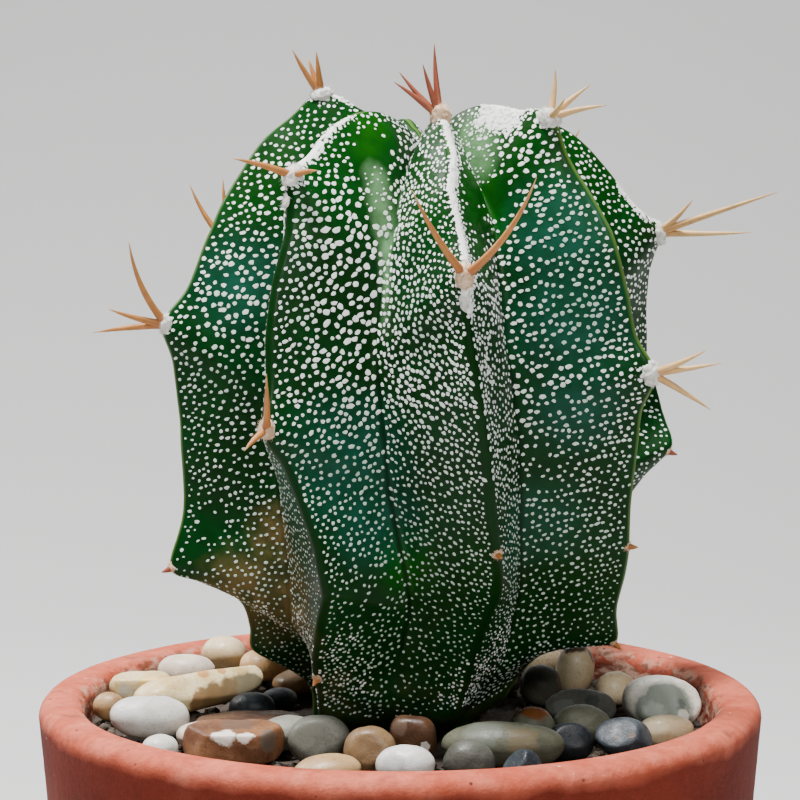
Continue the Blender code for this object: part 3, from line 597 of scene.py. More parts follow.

# %% [markdown]
# The skin isn't the same all over: felt runs along parts of the crests, sheen is painted on some flanks,
# young skin is bright green, with painted light on part of it, and old skin is corky. Felt is given by its
# runs along a crest. All the others are lists of patches, and a patch is a soft ball given by its middle
# (x, y and height over the rim) and its radius, in millimetres.

# %% Patches of the skin
FELT = {  # runs along a crest, in mm from the plant's top: (start, end, width on its left, on its right)
    "A": [(15, 22, 1.2, 1.4)],
    "B": [(20, 31, 0.7, 1.1), (28, 40, 2.0, 1.4)],
    "C": [(13, 53, 0.4, 1.7), (53, 61, 0.4, 2.2)],
    "D": [(15, 27, 5.2, 1.0)],
    "E": [(38, 50, 1.6, 1.6)],
    "F": [(20, 40, 1.4, 1.4)],
    "G": [(20, 40, 1.4, 1.4)],
    "H": [(38, 50, 1.4, 1.4)],
}
DARK_RIDGES = "BCG"  # ribs whose crest is dark low down
FAR_RIBS = "FGH"  # ribs at the back, with corkier feet
BAND = [  # the band of painted sheen in the valley left of rib C: height, x, y, radius
    (62, -1.6, -23.5, 0.9),
    (69, -1.7, -20.9, 1.3),
    (75, -1.9, -18, 1.7),
    (79, -2.4, -17.5, 2.0),
    (83, -2.9, -16.5, 2.3),
    (87, -3.6, -15.4, 2.3),
]


def along_band(height):
    """The painted sheen band's patch at a height."""
    heights, *columns = zip(*BAND)
    x, y, radius = (float(np.interp(height, heights, column)) for column in columns)
    return x, y, height, radius


BAND_PLACES = [along_band(height) for height in range(BAND[0][0], BAND[-1][0] + 1)]
# Painted sheen: pale milky green where flanks catch the light, and blue-green where they reflect the sky.
PALE_SHEEN_SPOTS = BAND_PLACES + [(12, -7.5, 92.5, 4.5), (12.5, -9, 89.5, 4.0), (11, -8, 88, 3.5)]
SKY_SHEEN_SPOTS = [(25, -18.5, 78, 8), (27, -20, 64, 9), (28, -21, 50, 7), (24, -22, 30, 8), (-9, -24, 42, 10),
              (-4, -26, 33, 7), (-26, -11, 70, 8)]
# Bright green, partly young skin and partly painted light on flanks that face the light.
YOUNG_AND_LIT_GREEN = [(-4.6, -9.5, 94, 5.5), (-5.5, -12, 91, 4.5), (12.5, -23, 83, 6), (13.5, -26, 75, 5),
               (12, -16, 88, 5), (-14, -8, 95, 5), (13.2, -11, 85, 4), (13.6, -16, 80, 4.5),
               (0.5, -23, 26, 5)]
BROWN_CORK = [(-17, -17, 18, 9), (-24.5, -10.5, 17, 9), (-12, -14, 8, 7), (-19, -14, 28, 6)]
WOOLLESS = ("A2", "B2", "F2", "G2")
WOOLLY_RADIUS = 2.6
WOOLLY_PLACES = [(*(spot[0] - Vector((0, 0, RIM))), WOOLLY_RADIUS) for label, spot in areoles.items()
                 if label not in WOOLLESS]


def nearness(points, places):
    """How near each point is to the nearest of the places, from 0 to 1 at its middle."""
    near = np.zeros(len(points))
    for x, y, z, radius in places:
        distance = np.linalg.norm(points - np.array([x, y, z + RIM]), axis=1) / radius
        near = np.maximum(near, np.clip(1.4 - distance, 0, 1))
    return near


print(f"{len(FELT)} crests with felt, {len(WOOLLY_PLACES)} woolly places")

# %% [markdown]
# A finish can read numbers that lie on a mesh's corners. These say how much felt covers the skin, where its
# ridge is pale or dark, how young or corky it is, where sheen is painted on it, and where shade is painted
# into the valleys. Each comes from a distance along the crest or across the side, or from the patches.

# %% Numbers for the skin's finish
SKIN_LAYERS = ("felt", "ridge", "dark_ridge", "young", "cork", "pale_sheen", "sky_sheen", "groove")


def run_lengths(lines):
    """Distance from the first point along each line of an array [..., point, xyz]."""
    steps = np.linalg.norm(np.diff(lines, axis=-2), axis=-1)
    return np.concatenate([np.zeros((*steps.shape[:-1], 1)), np.cumsum(steps, axis=-1)], axis=-1)


def felt_on(rib_name, side, off_ridge, down):
    """Share of felt at a distance off the ridge on one side, and at a distance down from the top."""
    amount = np.zeros_like(down)
    for start, end, left, right in FELT[rib_name]:
        width = left if side < 0 else right
        within = np.clip((width - off_ridge) / (0.5 + 0.3 * width) + 0.5, 0, 1) if width else 0.0
        within = within * np.clip((down - start) / 2, 0, 1)
        amount = np.maximum(amount, within * np.clip((end - down) / 2, 0, 1))
    return amount


def skin_numbers(k, side, off_ridge, down, off_valley, points):
    """What the finish reads at each point of a column, one row for each of the layers."""
    rib_name = RIBS[k]["name"]
    height = points[:, 2] - RIM
    felt = np.maximum(felt_on(rib_name, side, off_ridge, down), 0.9 * nearness(points, WOOLLY_PLACES))
    on_ridge = np.clip((0.8 - off_ridge) / 0.5, 0, 1)
    dark = np.clip((1.15 - off_ridge) / 0.7, 0, 1) * (rib_name in DARK_RIDGES)
    dark = dark * np.clip((down - 26) / 8, 0, 1)
    # The bright green patches in this number are partly painted light.
    young = np.maximum(np.clip((height - 74) / 20, 0, 0.35), nearness(points, YOUNG_AND_LIT_GREEN))
    foot_cork = np.clip((14 - height) / 12, 0, 1) * (0.6 if rib_name in FAR_RIBS else 0.25)
    cork = np.maximum(nearness(points, BROWN_CORK), foot_cork)
    # Painted shade: a darker line along the bottom of each valley, low on the plant.
    groove = np.clip(1 - off_valley / 1.2, 0, 1) * np.clip((66 - height) / 12, 0, 1)
    groove = groove * np.clip((height - 4) / 8, 0, 1)
    # The pale and bluish patches are where sheen is painted on the skin.
    pale, blue = nearness(points, PALE_SHEEN_SPOTS), nearness(points, SKY_SHEEN_SPOTS)
    return felt, on_ridge * (1 - dark), dark, young, cork, pale, blue, groove


print(f"{len(SKIN_LAYERS)} numbers at each corner of the skin")

# %% [markdown]
# The stem's skin starts as a flat grid, like a sheet of paper, that is rolled round the plant: every corner
# of the grid moves to its place on a ridge or a side. The two edges that meet, and the points that fall
# together at the top and at the root, are welded. At last the skin is pushed out and in by soft lumps.

# %% The stem's skin
SKIN_LUMPS = ((9, 0.16), (2.6, 0.05))  # width and height in mm


def lumpy(point, lumps, offset=Vector()):
    """Noise of several widths added up, with each one's width and height in lumps."""
    return sum(noise.noise(point / width + offset) * height for width, height in lumps)


def swell(point):
    """How far the skin stands out of its smooth shape, in mm."""
    return lumpy(point, SKIN_LUMPS)


def stem_columns():
    """Columns of points round the stem, each with its rib, side and distances from ridge, top and valley."""
    columns = []
    for k in range(len(RIBS)):
        down = run_lengths(ridges[k])
        for side in (-1, 1):
            sheet = sides[k, side]
            off_ridge = RIDGE_HALF_WIDTH + run_lengths(sheet.swapaxes(0, 1)).swapaxes(0, 1)
            order = range(len(STEPS) - 1, -1, -1) if side < 0 else range(len(STEPS) - 1)
            run = [(sheet[j], k, side, off_ridge[j], down, off_ridge[-1] - off_ridge[j]) for j in order]
            if side > 0:
                run.insert(0, (ridges[k], k, 1, np.zeros(RINGS), down, off_ridge[-1]))
            columns += run
    return columns


def make_stem(columns, skin):
    count = len(columns)
    bm = bmesh.new()
    bmesh.ops.create_grid(bm, x_segments=count, y_segments=RINGS - 1, size=1)
    layers = [bm.verts.layers.float.new(name) for name in SKIN_LAYERS]
    numbers = [skin_numbers(*column[1:], column[0]) for column in columns]
    for v in bm.verts:
        column = round((v.co.x + 1) / 2 * count) % count
        ring = round((1 - v.co.y) / 2 * (RINGS - 1))
        for layer, values in zip(layers, numbers[column]):
            v[layer] = values[ring]
        v.co = columns[column][0][ring]
    bmesh.ops.remove_doubles(bm, verts=bm.verts, dist=0.002)
    bm.normal_update()
    for v in bm.verts:
        v.co += v.normal * swell(v.co)
    return finish_bmesh(bm, "stem_skin", skin, ["stem"])


columns = stem_columns()
print(f"{len(columns)} columns of {RINGS} points")

# %% [markdown]
# The skin is a thin wax over deep green flesh. It is a fresh bright green on the young lobes at the top,
# partly as painted light, brown and corky low down, and covered by white wool along the crests. Pale and
# bluish patches are painted sheen, and a darker line low in the valleys is painted shade.

# %% The stem's finish
def skin_material():
    made, tree, shader = new_material("waxy_green_skin", Coat_Weight=0.05, Coat_Roughness=0.22)
    shader.inputs["Specular IOR Level"].default_value = 0.07
    felt, cork, young = attribute(tree, "felt"), attribute(tree, "cork"), attribute(tree, "young")
    broad = spread(tree, grain(tree, 14, 3), 0.36, 0.64)
    tone = blend(tree, broad, (0.0008, 0.024, 0.0014), (0.0010, 0.036, 0.0050))
    tone = blend(tree, spread(tree, grain(tree, 2.6, 5), 0.42, 0.78, 0, 0.55), tone, (0.0005, 0.014, 0.0012))
    patchy = spread(tree, grain(tree, 3, 5), 0.3, 0.6, 0.5, 1.0)
    # Bright green for young skin, partly painted light in some patches.
    fresh = calculate(tree, "MULTIPLY", young, patchy)
    tone = blend(tree, fresh, tone, (0.0025, 0.070, 0.0008))
    # Painted sheen: blue-green where the skin reflects the sky, then pale green where it catches the light.
    blue = calculate(tree, "MULTIPLY", attribute(tree, "sky_sheen"), patchy)
    tone = blend(tree, spread(tree, blue, 0, 1, 0, 0.75), tone, (0.006, 0.075, 0.048))
    pale = calculate(tree, "MULTIPLY", attribute(tree, "pale_sheen"), patchy)
    tone = blend(tree, spread(tree, pale, 0.05, 0.9, 0, 0.85), tone, (0.13, 0.27, 0.12))
    tone = blend(tree, spread(tree, attribute(tree, "ridge"), 0.35, 1.0, 0, 0.7), tone, (0.12, 0.21, 0.035))
    dark_ridge = spread(tree, attribute(tree, "dark_ridge"), 0.1, 0.6, 0, 0.85)
    tone = blend(tree, dark_ridge, tone, (0.001, 0.022, 0.0015))
    # Painted shade along the valleys' bottoms; the same number also dents the skin there.
    groove = spread(tree, attribute(tree, "groove"), 0.6, 1.0)
    tone = blend(tree, spread(tree, groove, 0, 1, 0, 0.7), tone, (0.0003, 0.010, 0.0008))
    worn = calculate(tree, "MULTIPLY", cork, spread(tree, grain(tree, 3.2, 6), 0.3, 0.62, 0.3, 1.0))
    tone = blend(tree, spread(tree, worn, 0.1, 0.9, 0, 0.8), tone, (0.145, 0.100, 0.034))
    ragged = spread(tree, cells(tree, 0.75), 0.1, 0.75, 0.45, -0.45)
    wool = calculate(tree, "ADD", felt, ragged)
    wool = calculate(tree, "MULTIPLY", spread(tree, wool, 0.46, 0.6), spread(tree, felt, 0.04, 0.12))
    tone = blend(tree, wool, tone, (0.86, 0.86, 0.82))
    feed(tree, shader.inputs["Base Color"], tone)
    rough = spread(tree, grain(tree, 2, 4), 0.3, 0.7, 0.34, 0.5)
    rough = spread(tree, worn, 0.1, 0.6, rough, 0.8)
    feed(tree, shader.inputs["Roughness"], spread(tree, wool, 0, 1, rough, 0.95))
    fine = relief(tree, grain(tree, 0.35, 4), 0.03)
    fine = relief(tree, wool, 0.2, fine)
    fine = relief(tree, groove, -0.35, fine)
    feed(tree, shader.inputs["Normal"], relief(tree, grain(tree, 1.8, 5), 0.09, fine))
    return made


stem = make_stem(columns, skin_material())
print(f"stem: {len(stem.data.polygons)} faces")

# %% [markdown]
# The white flecks are tiny tufts of felt in slanting rows. They could be painted on, but real tufts stand
# proud, catch light and break up the outline of a rib, so each is a small flattened ball. A fleck is about
# a millimetre long high on the plant and half that low down. Most rows climb as they leave the crest.

# %% How the flecks differ
LOOKS = {  # (rib, side): spacing and size in mm high on the plant, then low down, and the rows' slant
    ("A", 1): (1.26, 0.74, 1.06, 0.44, 0.25),
    ("B", -1): (1.25, 0.66, 1.08, 0.40, 0.25),
    ("B", 1): (1.22, 0.88, 1.06, 0.47, 0.42),
    ("C", -1): (1.02, 0.74, 1.06, 0.46, 0.35),
    ("C", 1): (1.25, 0.68, 1.12, 0.43, -0.15),
    ("D", -1): (1.22, 0.78, 1.06, 0.47, -0.2),
    ("D", 1): (1.28, 0.76, 1.16, 0.46, 0.3),
    ("E", -1): (1.28, 0.72, 1.18, 0.46, 0.2),
}
PLAIN_LOOK = (1.45, 0.80, 1.36, 0.50, 0.3)
BARE = [  # where the felt has rubbed off or never grew, and painted shade: middle (x, y, height), radius, strength
    (-4.0, -12.8, 90.5, 5.5, 1.0),
    (-2.5, -8.5, 94.3, 3.5, 1.0),
    (-6.0, -9.0, 94.8, 3.2, 1.0),
    (12.0, -18.5, 85.5, 4.5, 1.0),
    (12.2, -22.0, 81, 4.5, 1.0),
    (12.8, -24.5, 75, 4.0, 0.95),
    (13.8, -14.0, 83, 4.0, 1.0),
    (13.5, -11.0, 86, 3.0, 0.9),
    # Painted shadow of a spine of C2 on rib D, kept free of flecks.
    (20.3, -17.5, 79, 2.4, 0.75),
    (21.5, -18.8, 72, 2.4, 0.7),
    (26.9, -19.7, 51.4, 2.6, 0.6),
    (23.1, -17.5, 39.9, 3.5, 0.6),
    (-4.7, -26.1, 20.5, 5.5, 0.65),
    # Painted shade on the lower edge of rib A's flank, kept free of flecks.
    (-33.0, -9.5, 23.0, 4.5, 0.85),
    (-31.6, -9.2, 29.5, 3.2, 0.8),
    (-14, -8, 94.5, 3.5, 0.9),
]
# Patches of finer, larger and denser flecks, of flecks greyed as painted shade, and of scurf, each as x, y,
# height and radius.
FINE = [(-3.6, -16, 85, 3.0), (-2.6, -17, 80, 2.6), (-2.0, -18, 75.5, 2.0), (12, -7.5, 92.5, 4.5),
        (12, -9.5, 89, 4.5)]
LARGE = [(-8, -21, 77, 8), (-5, -23.5, 67, 8), (-6, -24, 58, 7), (19, -14, 91, 6), (-27, -9, 66, 8)]
DENSE = [(12.5, -34, 64, 4.4), (13.6, -34.5, 57, 4.6), (15, -34, 50, 4.2), (16.2, -33, 42, 3.4),
         (11.8, -33, 70, 3.2)]
SHADED_FLECK_SPOTS = [(-15, -23, 82, 4), (-15.6, -24.8, 74, 4.5), (-15.1, -26.6, 65, 4.5), (2.3, -25, 75, 4.5),
          (3.8, -30, 69, 4.5), (4.6, -31.4, 62, 5), (1, -26, 67, 5), (26.5, -19, 76, 7), (-30, -9, 56, 8),
          (28, -20, 66, 7)]
SCURF = [(16.5, -13.5, 11, 5), (19, -9.5, 13, 5), (13, -16, 6, 5), (8.5, -18.5, 3, 3.5),
         (-8, -21.5, 7.5, 4.5), (-9, -24, 13, 3.5), (-18, -16, 12, 8), (-12, -15, 4, 7), (31, 2, 10, 6)]
print(f"{len(LOOKS)} sides with a look of their own, {len(BARE)} bare places")

# %% [markdown]
# Each row starts near the crest and runs across the side. Every second row is set off by half a gap, and each
# fleck strays a little from its place, so that the pattern looks grown. Low on the plant the rows lie closer
# together.

# %% Rows of flecks
SHRINK_FROM = 60
SHRINK_SPAN = 44
FIRST_IN_ROW = 1.3
END_OF_ROW = 24


def on_sheet(sheet, step, ring):
    """The point at a fractional step and ring of a side."""
    j = np.clip(step.astype(int), 0, sheet.shape[0] - 2)
    r = np.clip(ring.astype(int), 0, sheet.shape[1] - 2)
    a, b = (step - j)[:, None], (ring - r)[:, None]
    near = sheet[j, r] * (1 - b) + sheet[j, r + 1] * b
    far = sheet[j + 1, r] * (1 - b) + sheet[j + 1, r + 1] * b
    return near * (1 - a) + far * a


def lowness(height):
    """How low a place lies on the plant, from 0 where flecks are largest to 1 where they are smallest."""
    return np.clip((SHRINK_FROM - height) / SHRINK_SPAN, 0, 1)


def row_places(rib, side, sheet, off_ridge, ring_length, last, draw):
    """Places row by row, each as step, ring, size, spacing and how low it lies, from 0 to 1."""
    spacing, size, low_spacing, low_size, slant = LOOKS.get((rib["name"], side), PLAIN_LOOK)
    places = []
    lag = np.clip((sheet[0, :, 2] - sheet[-1, :, 2]) / np.maximum(off_ridge[-1], 1), 0, 0.9)
    row, odd = 3.0, 0
    while row < last + 30:
        low = lowness(sheet[0][min(int(row), last), 2] - RIM)
        gap = spacing + (low_spacing - spacing) * low
        off = FIRST_IN_ROW + gap * (0.5 * odd + draw.uniform(-0.2, 0.2))
        while off < END_OF_ROW:
            here = gap * min(1, 0.78 + 0.03 * off)
            climb = (slant + lag[min(int(row), RINGS - 1)]) * off
            ring = row + (draw.gauss(0, 0.19) * here - climb) / ring_length
            column = off_ridge[:, int(min(max(ring, 0), last))]
            if off < column[-1] - 0.35 and 2 < ring < last:
                step = np.interp(off + draw.gauss(0, 0.13) * here, column, np.arange(len(STEPS)))
                grown = (size + (low_size - size) * low) * min(1, 0.72 + 0.04 * off) * draw.uniform(0.78, 1.2)
                places.append((step, ring, grown, here * 0.8, low))
            off += here * draw.uniform(0.84, 1.06)
        row += gap * 0.80 / ring_length
        odd = 1 - odd
    return places


print(f"rows end {END_OF_ROW} mm from the crest, or at the valley")

# %% [markdown]
# Small tufts fill in between the rows. They are thrown at random all over a side, and stay only near the
# ridge, at ragged edges of the felt, or where a patch asks for them.

# %% Small tufts
DARTS = 4500


def crumb_places(rib, side, sheet, off_ridge, last, draw):
    """Small tufts thrown at random, that stay by the ridge, at ragged felt and in some patches."""
    darts = np.array([(draw.uniform(2, last), 0.5 + 13 * draw.random() ** 1.4) for _ in range(DARTS)])
    ring = darts[:, 0]
    step = np.array([np.interp(off, off_ridge[:, int(r)], np.arange(len(STEPS))) for r, off in darts])
    points = on_sheet(sheet, step, ring)
    down = run_lengths(sheet[0])[ring.astype(int)]
    felt = felt_on(rib["name"], side, darts[:, 1], down)
    ragged = np.where((felt > 0.02) & (felt < 0.9), 0.9, 0.25 * (felt > 0))
    low = lowness(points[:, 2] - RIM)
    places = []
    by_ridge = np.clip((4.2 - darts[:, 1]) / 3, 0, 0.8) * (darts[:, 1] > 1.1) * (1 - 0.5 * low)
    dense, fine, scurf = (nearness(points, where) for where in (DENSE, FINE, SCURF))
    # Each kind has its chance to stay, its size and its least distance from other flecks.
    kinds = ((ragged, 0.42, 0.45), (dense, 0.88, 0.73), (fine, 0.34, 0.72), (scurf, 0.44, 0.52),
             (by_ridge, 0.58, 0.92))
    for weight, size, distance in kinds:
        for n in np.nonzero(weight > [draw.random() for _ in weight])[0]:
            shaded = low[n] if distance > 0.6 else 0
            places.append((step[n], ring[n], size * draw.uniform(0.75, 1.3), distance, shaded))
    return places


print(f"{DARTS} throws a side")

# %% [markdown]
# One fleck is an icosphere with twelve corners, pressed flat, drawn out along its row and pushed a little out
# of round. Thousands are wanted, so one ball is copied by doubling, and then all corners are moved at once.
# Each fleck must keep its distance from the earlier ones, which keeps them apart as tufts of felt grow.

# %% The shape of the flecks
PLANT_MIDDLE = (4, PLANT_BACK, RIM + 45)
CHIP_RISE = 0.16
CHIP_TOP = 0.07


def many_balls(count):
    """Many unit balls of twelve corners in one bmesh, each ball's corners after the last one's."""
    bm = bmesh.new()
    corners = len(bmesh.ops.create_icosphere(bm, subdivisions=1, radius=1)["verts"])
    copies = bpy.data.meshes.new("copies")
    while len(bm.verts) < count * corners:
        bm.to_mesh(copies)
        bm.from_mesh(copies)
    bpy.data.meshes.remove(copies)
    bm.verts.ensure_lookup_table()
    bmesh.ops.delete(bm, geom=bm.verts[count * corners:], context="VERTS")
    return bm, np.array([v.co for v in bm.verts]).reshape(count, corners, 3)


def settled(points, distances):
    """Which points stay, when each must keep its distance from all the earlier ones that stay."""
    stay, places = [], np.zeros_like(points)
    for n, (point, distance) in enumerate(zip(points, distances)):
        if not stay or np.sum((places[:len(stay)] - point) ** 2, axis=1).min() > distance**2:
            places[len(stay)] = point
            stay.append(n)
    return stay


def fleck_axes(sheet, step, ring):
    """Two of the surface's own directions at places on it: across the rib, and out of it."""
    across = on_sheet(sheet, np.minimum(step + 0.3, len(STEPS) - 1), ring) - on_sheet(sheet, step - 0.3, ring)
    down = on_sheet(sheet, step, ring + 1.0) - on_sheet(sheet, step, ring - 1.0)
    out = np.cross(across, down)
    from_middle = on_sheet(sheet, step, ring) - np.array(PLANT_MIDDLE)
    out *= np.sign(np.sum(out * from_middle, axis=1))[:, None]
    return [arrow / np.linalg.norm(arrow, axis=1, keepdims=True) for arrow in (across, out)]


def chip_corners(balls, points, axes, sizes, slant, dice):
    """Corners of flat-topped chips with uneven edges, their undersides in the skin."""
    across, out = axes
    count = len(points)
    level = np.cross(np.array([0, 0, 1.0]), out)
    length = np.maximum(np.linalg.norm(level, axis=1), 0.01)[:, None]
    level *= np.sign(np.sum(level * across, axis=1, keepdims=True)) / length
    upwards = np.cross(out, level) * np.sign(np.cross(out, level)[:, 2:])
    along = level + upwards * slant * dice.uniform(0, 2.6, (count, 1))
    along /= np.linalg.norm(along, axis=1, keepdims=True)
    width = np.cross(out, along)
    long = 1.0 + 0.6 * dice.random((count, 1)) ** 2
    half_long, half_wide = sizes[:, None] * long / 2, sizes[:, None] / 2 / long**0.4
    flat = balls[:, :, :1] * (along * half_long)[:, None] + balls[:, :, 1:2] * (width * half_wide)[:, None]
    uneven = dice.uniform(0.74, 1.28, (count, balls.shape[1], 1))
    rise = np.minimum(balls[:, :, 2:] * CHIP_RISE, CHIP_TOP)
    lift = np.array([swell(Vector(point)) for point in points])[:, None, None]
    return points[:, None] + flat * uneven + out[:, None] * (rise + lift)


print("fleck shapes ready")

# %% [markdown]
# All flecks on one side of a rib are one piece. They share one felt, and each carries a shade of its own,
# darker and greener low on the plant, and darker as painted shade in some patches, so that no two neighbours
# look quite alike.

# %% Laying the flecks
def bareness(point):
    """How bare the skin is at a point, from 0 to 1, with places of painted shade counted as bare."""
    bare = 0.0
    for x, y, z, radius, strength in BARE:
        distance = math.dist(point, (x, y, z + RIM)) / radius
        bare = max(bare, strength * min(1, max(0, 1.5 - distance)))
    return bare


def make_flecks(k, side, skin):
    """All flecks on one side of a rib as one piece. Returns how many there are."""
    draw, dice = random.Random(f"{RIBS[k]['name']}{side}"), np.random.default_rng(20 * k + side + 1)
    rib, sheet = RIBS[k], sides[k, side]
    off_ridge = RIDGE_HALF_WIDTH + run_lengths(sheet.swapaxes(0, 1)).swapaxes(0, 1)
    last = int(np.argmax(ridges[k][:, 2] < RIM + 1.5))
    ring_length = run_lengths(ridges[k])[-1] / (RINGS - 1)
    places = row_places(rib, side, sheet, off_ridge, ring_length, last, draw)
    rows = len(places)
    places += crumb_places(rib, side, sheet, off_ridge, last, draw)
    step, ring, size, distance, low = np.array(places).T
    points = on_sheet(sheet, step, ring)
    large = nearness(points, LARGE)
    patchy = np.array([noise.noise(Vector(point) / 12) for point in points])
    bare = np.array([bareness(point) for point in points]) + 0.75 * nearness(points, FINE)
    in_rows = np.arange(len(points)) < rows
    size = size * (1 + np.where(in_rows, 0.22 * patchy + 0.14 * large, 0))
    least = np.where(in_rows, 1.03, 0.8) * size
    distance = np.maximum(distance * (1 + np.where(in_rows, 0.04 * large, 0)), least)
    wanted = np.nonzero((dice.random(len(points)) > np.where(in_rows, bare, 0)) & (size > 0.2))[0]
    kept = wanted[settled(points[wanted], distance[wanted])]
    # Painted shade: flecks are darker in the shaded patches and in the patches of painted sheen.
    shade = dice.uniform(0.82, 1.0, len(points)) * (1 - 0.35 * nearness(points, SKY_SHEEN_SPOTS)) * (1 - 0.6 * low)
    shade *= (1 - 0.42 * nearness(points, SHADED_FLECK_SPOTS)) * (1 - 0.2 * nearness(points, PALE_SHEEN_SPOTS))
    bm, balls = many_balls(len(kept))
    axes = fleck_axes(sheet, step[kept], ring[kept])
    slant = LOOKS.get((rib["name"], side), PLAIN_LOOK)[4]
    corners = chip_corners(balls, points[kept], axes, size[kept], slant, dice).reshape(-1, 3)
    layer = bm.verts.layers.float.new("shade")
    for v, corner, tone in zip(bm.verts, corners, np.repeat(shade[kept], balls.shape[1])):
        v.co = corner
        v[layer] = tone
    name = f"flecks_{rib['name']}_{'left' if side < 0 else 'right'}"
    finish_bmesh(bm, name, skin, smooth=False)
    return len(kept)


def felt_material():
    made, tree, shader = new_material("white_felt", Roughness=0.95, Sheen_Weight=0.15, Sheen_Roughness=0.5)
    tone = blend(tree, attribute(tree, "shade"), (0.12, 0.33, 0.20), (0.95, 0.96, 0.92))
    tone = blend(tree, spread(tree, grain(tree, 0.5, 3), 0.55, 0.8, 0, 0.3), tone, (0.45, 0.52, 0.42))
    feed(tree, shader.inputs["Base Color"], tone)
    feed(tree, shader.inputs["Normal"], relief(tree, grain(tree, 0.16, 4), 0.05))
    return made


felt = felt_material()
fleck_counts = [make_flecks(k, side, felt) for k in range(len(RIBS)) for side in (-1, 1)]
print(f"{sum(fleck_counts)} flecks")

# %% [markdown]
# Spines are horn-like tapering needles with a swollen root. Each could be a curve with a bevel, but a tube
# made ring by ring can swell at its root and taper as the real ones do. A flat grid is rolled into a tube,
# row by row along a bent line, and its seam and ends are welded. The share of the way to the tip is kept for
# the finish.

# %% Spines
SPINE_THICKNESS = 1.25
PAD_SUNK = 0.4
SPINE_RINGS = 22
SPINES = {  # each spine's tip as steps to the right, back and up from its areole, and its bow
    "A1": [(-4.8, -1, 7.3, 0.5), (-2.2, 2, 5.8, 0.3), (-0.8, -1, 7.0, 0.2)],
    "A2": [(-5.4, -2, 13.9, 2.4), (-8.9, -3, 2.8, 0.6), (-11.8, 1, -1.5, 0.5)],
    "B1": [(-9.2, -4, 2.7, 0.8), (4.3, -3.5, 0.8, 0.6)],
    "B2": [(0.5, -5.5, 9.4, 1.6), (-3.1, -4, -2.8, 0.6)],
    "C1": [(-7.6, -1, 5.4, 0.4), (-6.7, 2, 7.0, 0.4), (-2.9, -1, 8.3, 0.3), (-1.0, 1, 11.6, 0.6)],
    "C2": [(-8.1, -6, 13.3, 1.2), (10.6, -6, 15.4, 3.0)],
    "D1": [(0.8, 1, 7.7, 1.0), (6.6, 2, 5.1, 0.8), (9.0, -1.5, 1.8, 0.8), (2.0, -6, 3.0, 0.6)],
    "D2": [(8.3, -2.5, 4.1, 0.6), (10.8, -1, 1.8, 0.5), (9.4, 1, -6.0, 0.6)],
    "E1": [(18.9, -13, 7.5, 1.2), (5.4, -4, 5.8, 0.8), (15.4, -3, 0.1, -0.5)],
    "H1": [(-6.4, 1, 10.5, 1.4), (-0.6, 1, 11.5, 0.6), (-4.0, 9, 1.0, 0.5)],
    "H2": [(-5.5, 8, 6.0, 0.8), (2.0, 9, 4.5, 0.6), (-3.5, 8.5, -4.5, 0.6)],
}


def hidden_spines(spot, draw):
    """Three spines fanned about an areole's outward direction."""
    _, outward, along = spot
    side = along.cross(outward)
    start = draw.uniform(0, math.tau)
    steps = []
    for k in range(3):
        turn = start + math.tau * k / 3 + draw.uniform(-0.3, 0.3)
        spread_angle = math.radians(draw.uniform(32, 48))
        across = side * math.cos(turn) - along * math.sin(turn)
        step = (outward * math.cos(spread_angle) + across * math.sin(spread_angle)) * draw.uniform(8, 13)
        steps.append((step.x, step.y, step.z + 1.5, 0.8))
    return steps


def bow_direction(chord, outward, step):
    """The way a spine bends: away from the plant, or sideways where it rises steeply."""
    wanted = Vector((step.x, step.y, 0)) if step.z > abs(step.x) else outward
    return (wanted - chord * wanted.dot(chord)).normalized()


def add_spine(bm, tip_layer, base, tip, bow, thickness=SPINE_THICKNESS):
    """One tapering spine from base to tip along a bent line, with a swollen root."""
    bend = (base + tip) / 2 + bow
    fresh = bmesh.ops.create_grid(bm, x_segments=10, y_segments=SPINE_RINGS, size=1)["verts"]
    for v in fresh:
        t = (v.co.y + 1) / 2
        angle = v.co.x * math.pi
        middle = base * (1 - t) ** 2 + bend * 2 * t * (1 - t) + tip * t**2
        direction = ((bend - base) * (1 - t) + (tip - bend) * t).normalized()
        side = direction.cross(Vector((0.3, 1, 0.2))).normalized()
        radius = thickness / 2 * (1 - t**1.7) ** 0.85 * (1 + 0.22 * math.exp(-((t / 0.12) ** 2))) * (t > 0)
        knobbly = 0.05 * noise.noise(Vector((t * 9, base.x, base.z)))
        radius *= 1 + knobbly + 0.03 * math.sin(3 * angle + base.x)
        v.co = middle + (side * math.cos(angle) + direction.cross(side) * math.sin(angle)) * radius
        v[tip_layer] = t
    bmesh.ops.remove_doubles(bm, verts=fresh, dist=0.0005)


print(f"{sum(len(steps) for steps in SPINES.values())} listed spines")

# %% [markdown]
# A spine is tan and translucent, redder at its root and dark at its very tip, and fine streaks run along it.
# Wool scatters light among its hairs and has no gloss at all, so it is rough and gets a little sheen.

# %% Spine and wool finishes
def spine_material(name, root, middle, tip):
    made, tree, shader = new_material(name, Subsurface_Weight=0.1, Coat_Weight=0.08, Coat_Roughness=0.35)
    shader.inputs["Subsurface Radius"].default_value = (0.0012, 0.0007, 0.0004)
    shader.inputs["Specular IOR Level"].default_value = 0.3
    along = attribute(tree, "tip")
    tone = blend(tree, spread(tree, along, 0.0, 0.35), root, middle)
    tone = blend(tree, spread(tree, along, 0.78, 1.0), tone, tip)
    streak = spread(tree, grain(tree, 1.4, 4), 0.35, 0.75, 0, 0.5)
    tone = blend(tree, streak, tone, tuple(c * 0.55 for c in middle))
    feed(tree, shader.inputs["Base Color"], tone)
    feed(tree, shader.inputs["Roughness"], spread(tree, grain(tree, 0.8, 4), 0.3, 0.7, 0.34, 0.6))
    feed(tree, shader.inputs["Normal"], relief(tree, grain(tree, 0.35, 4), 0.05))
    return made


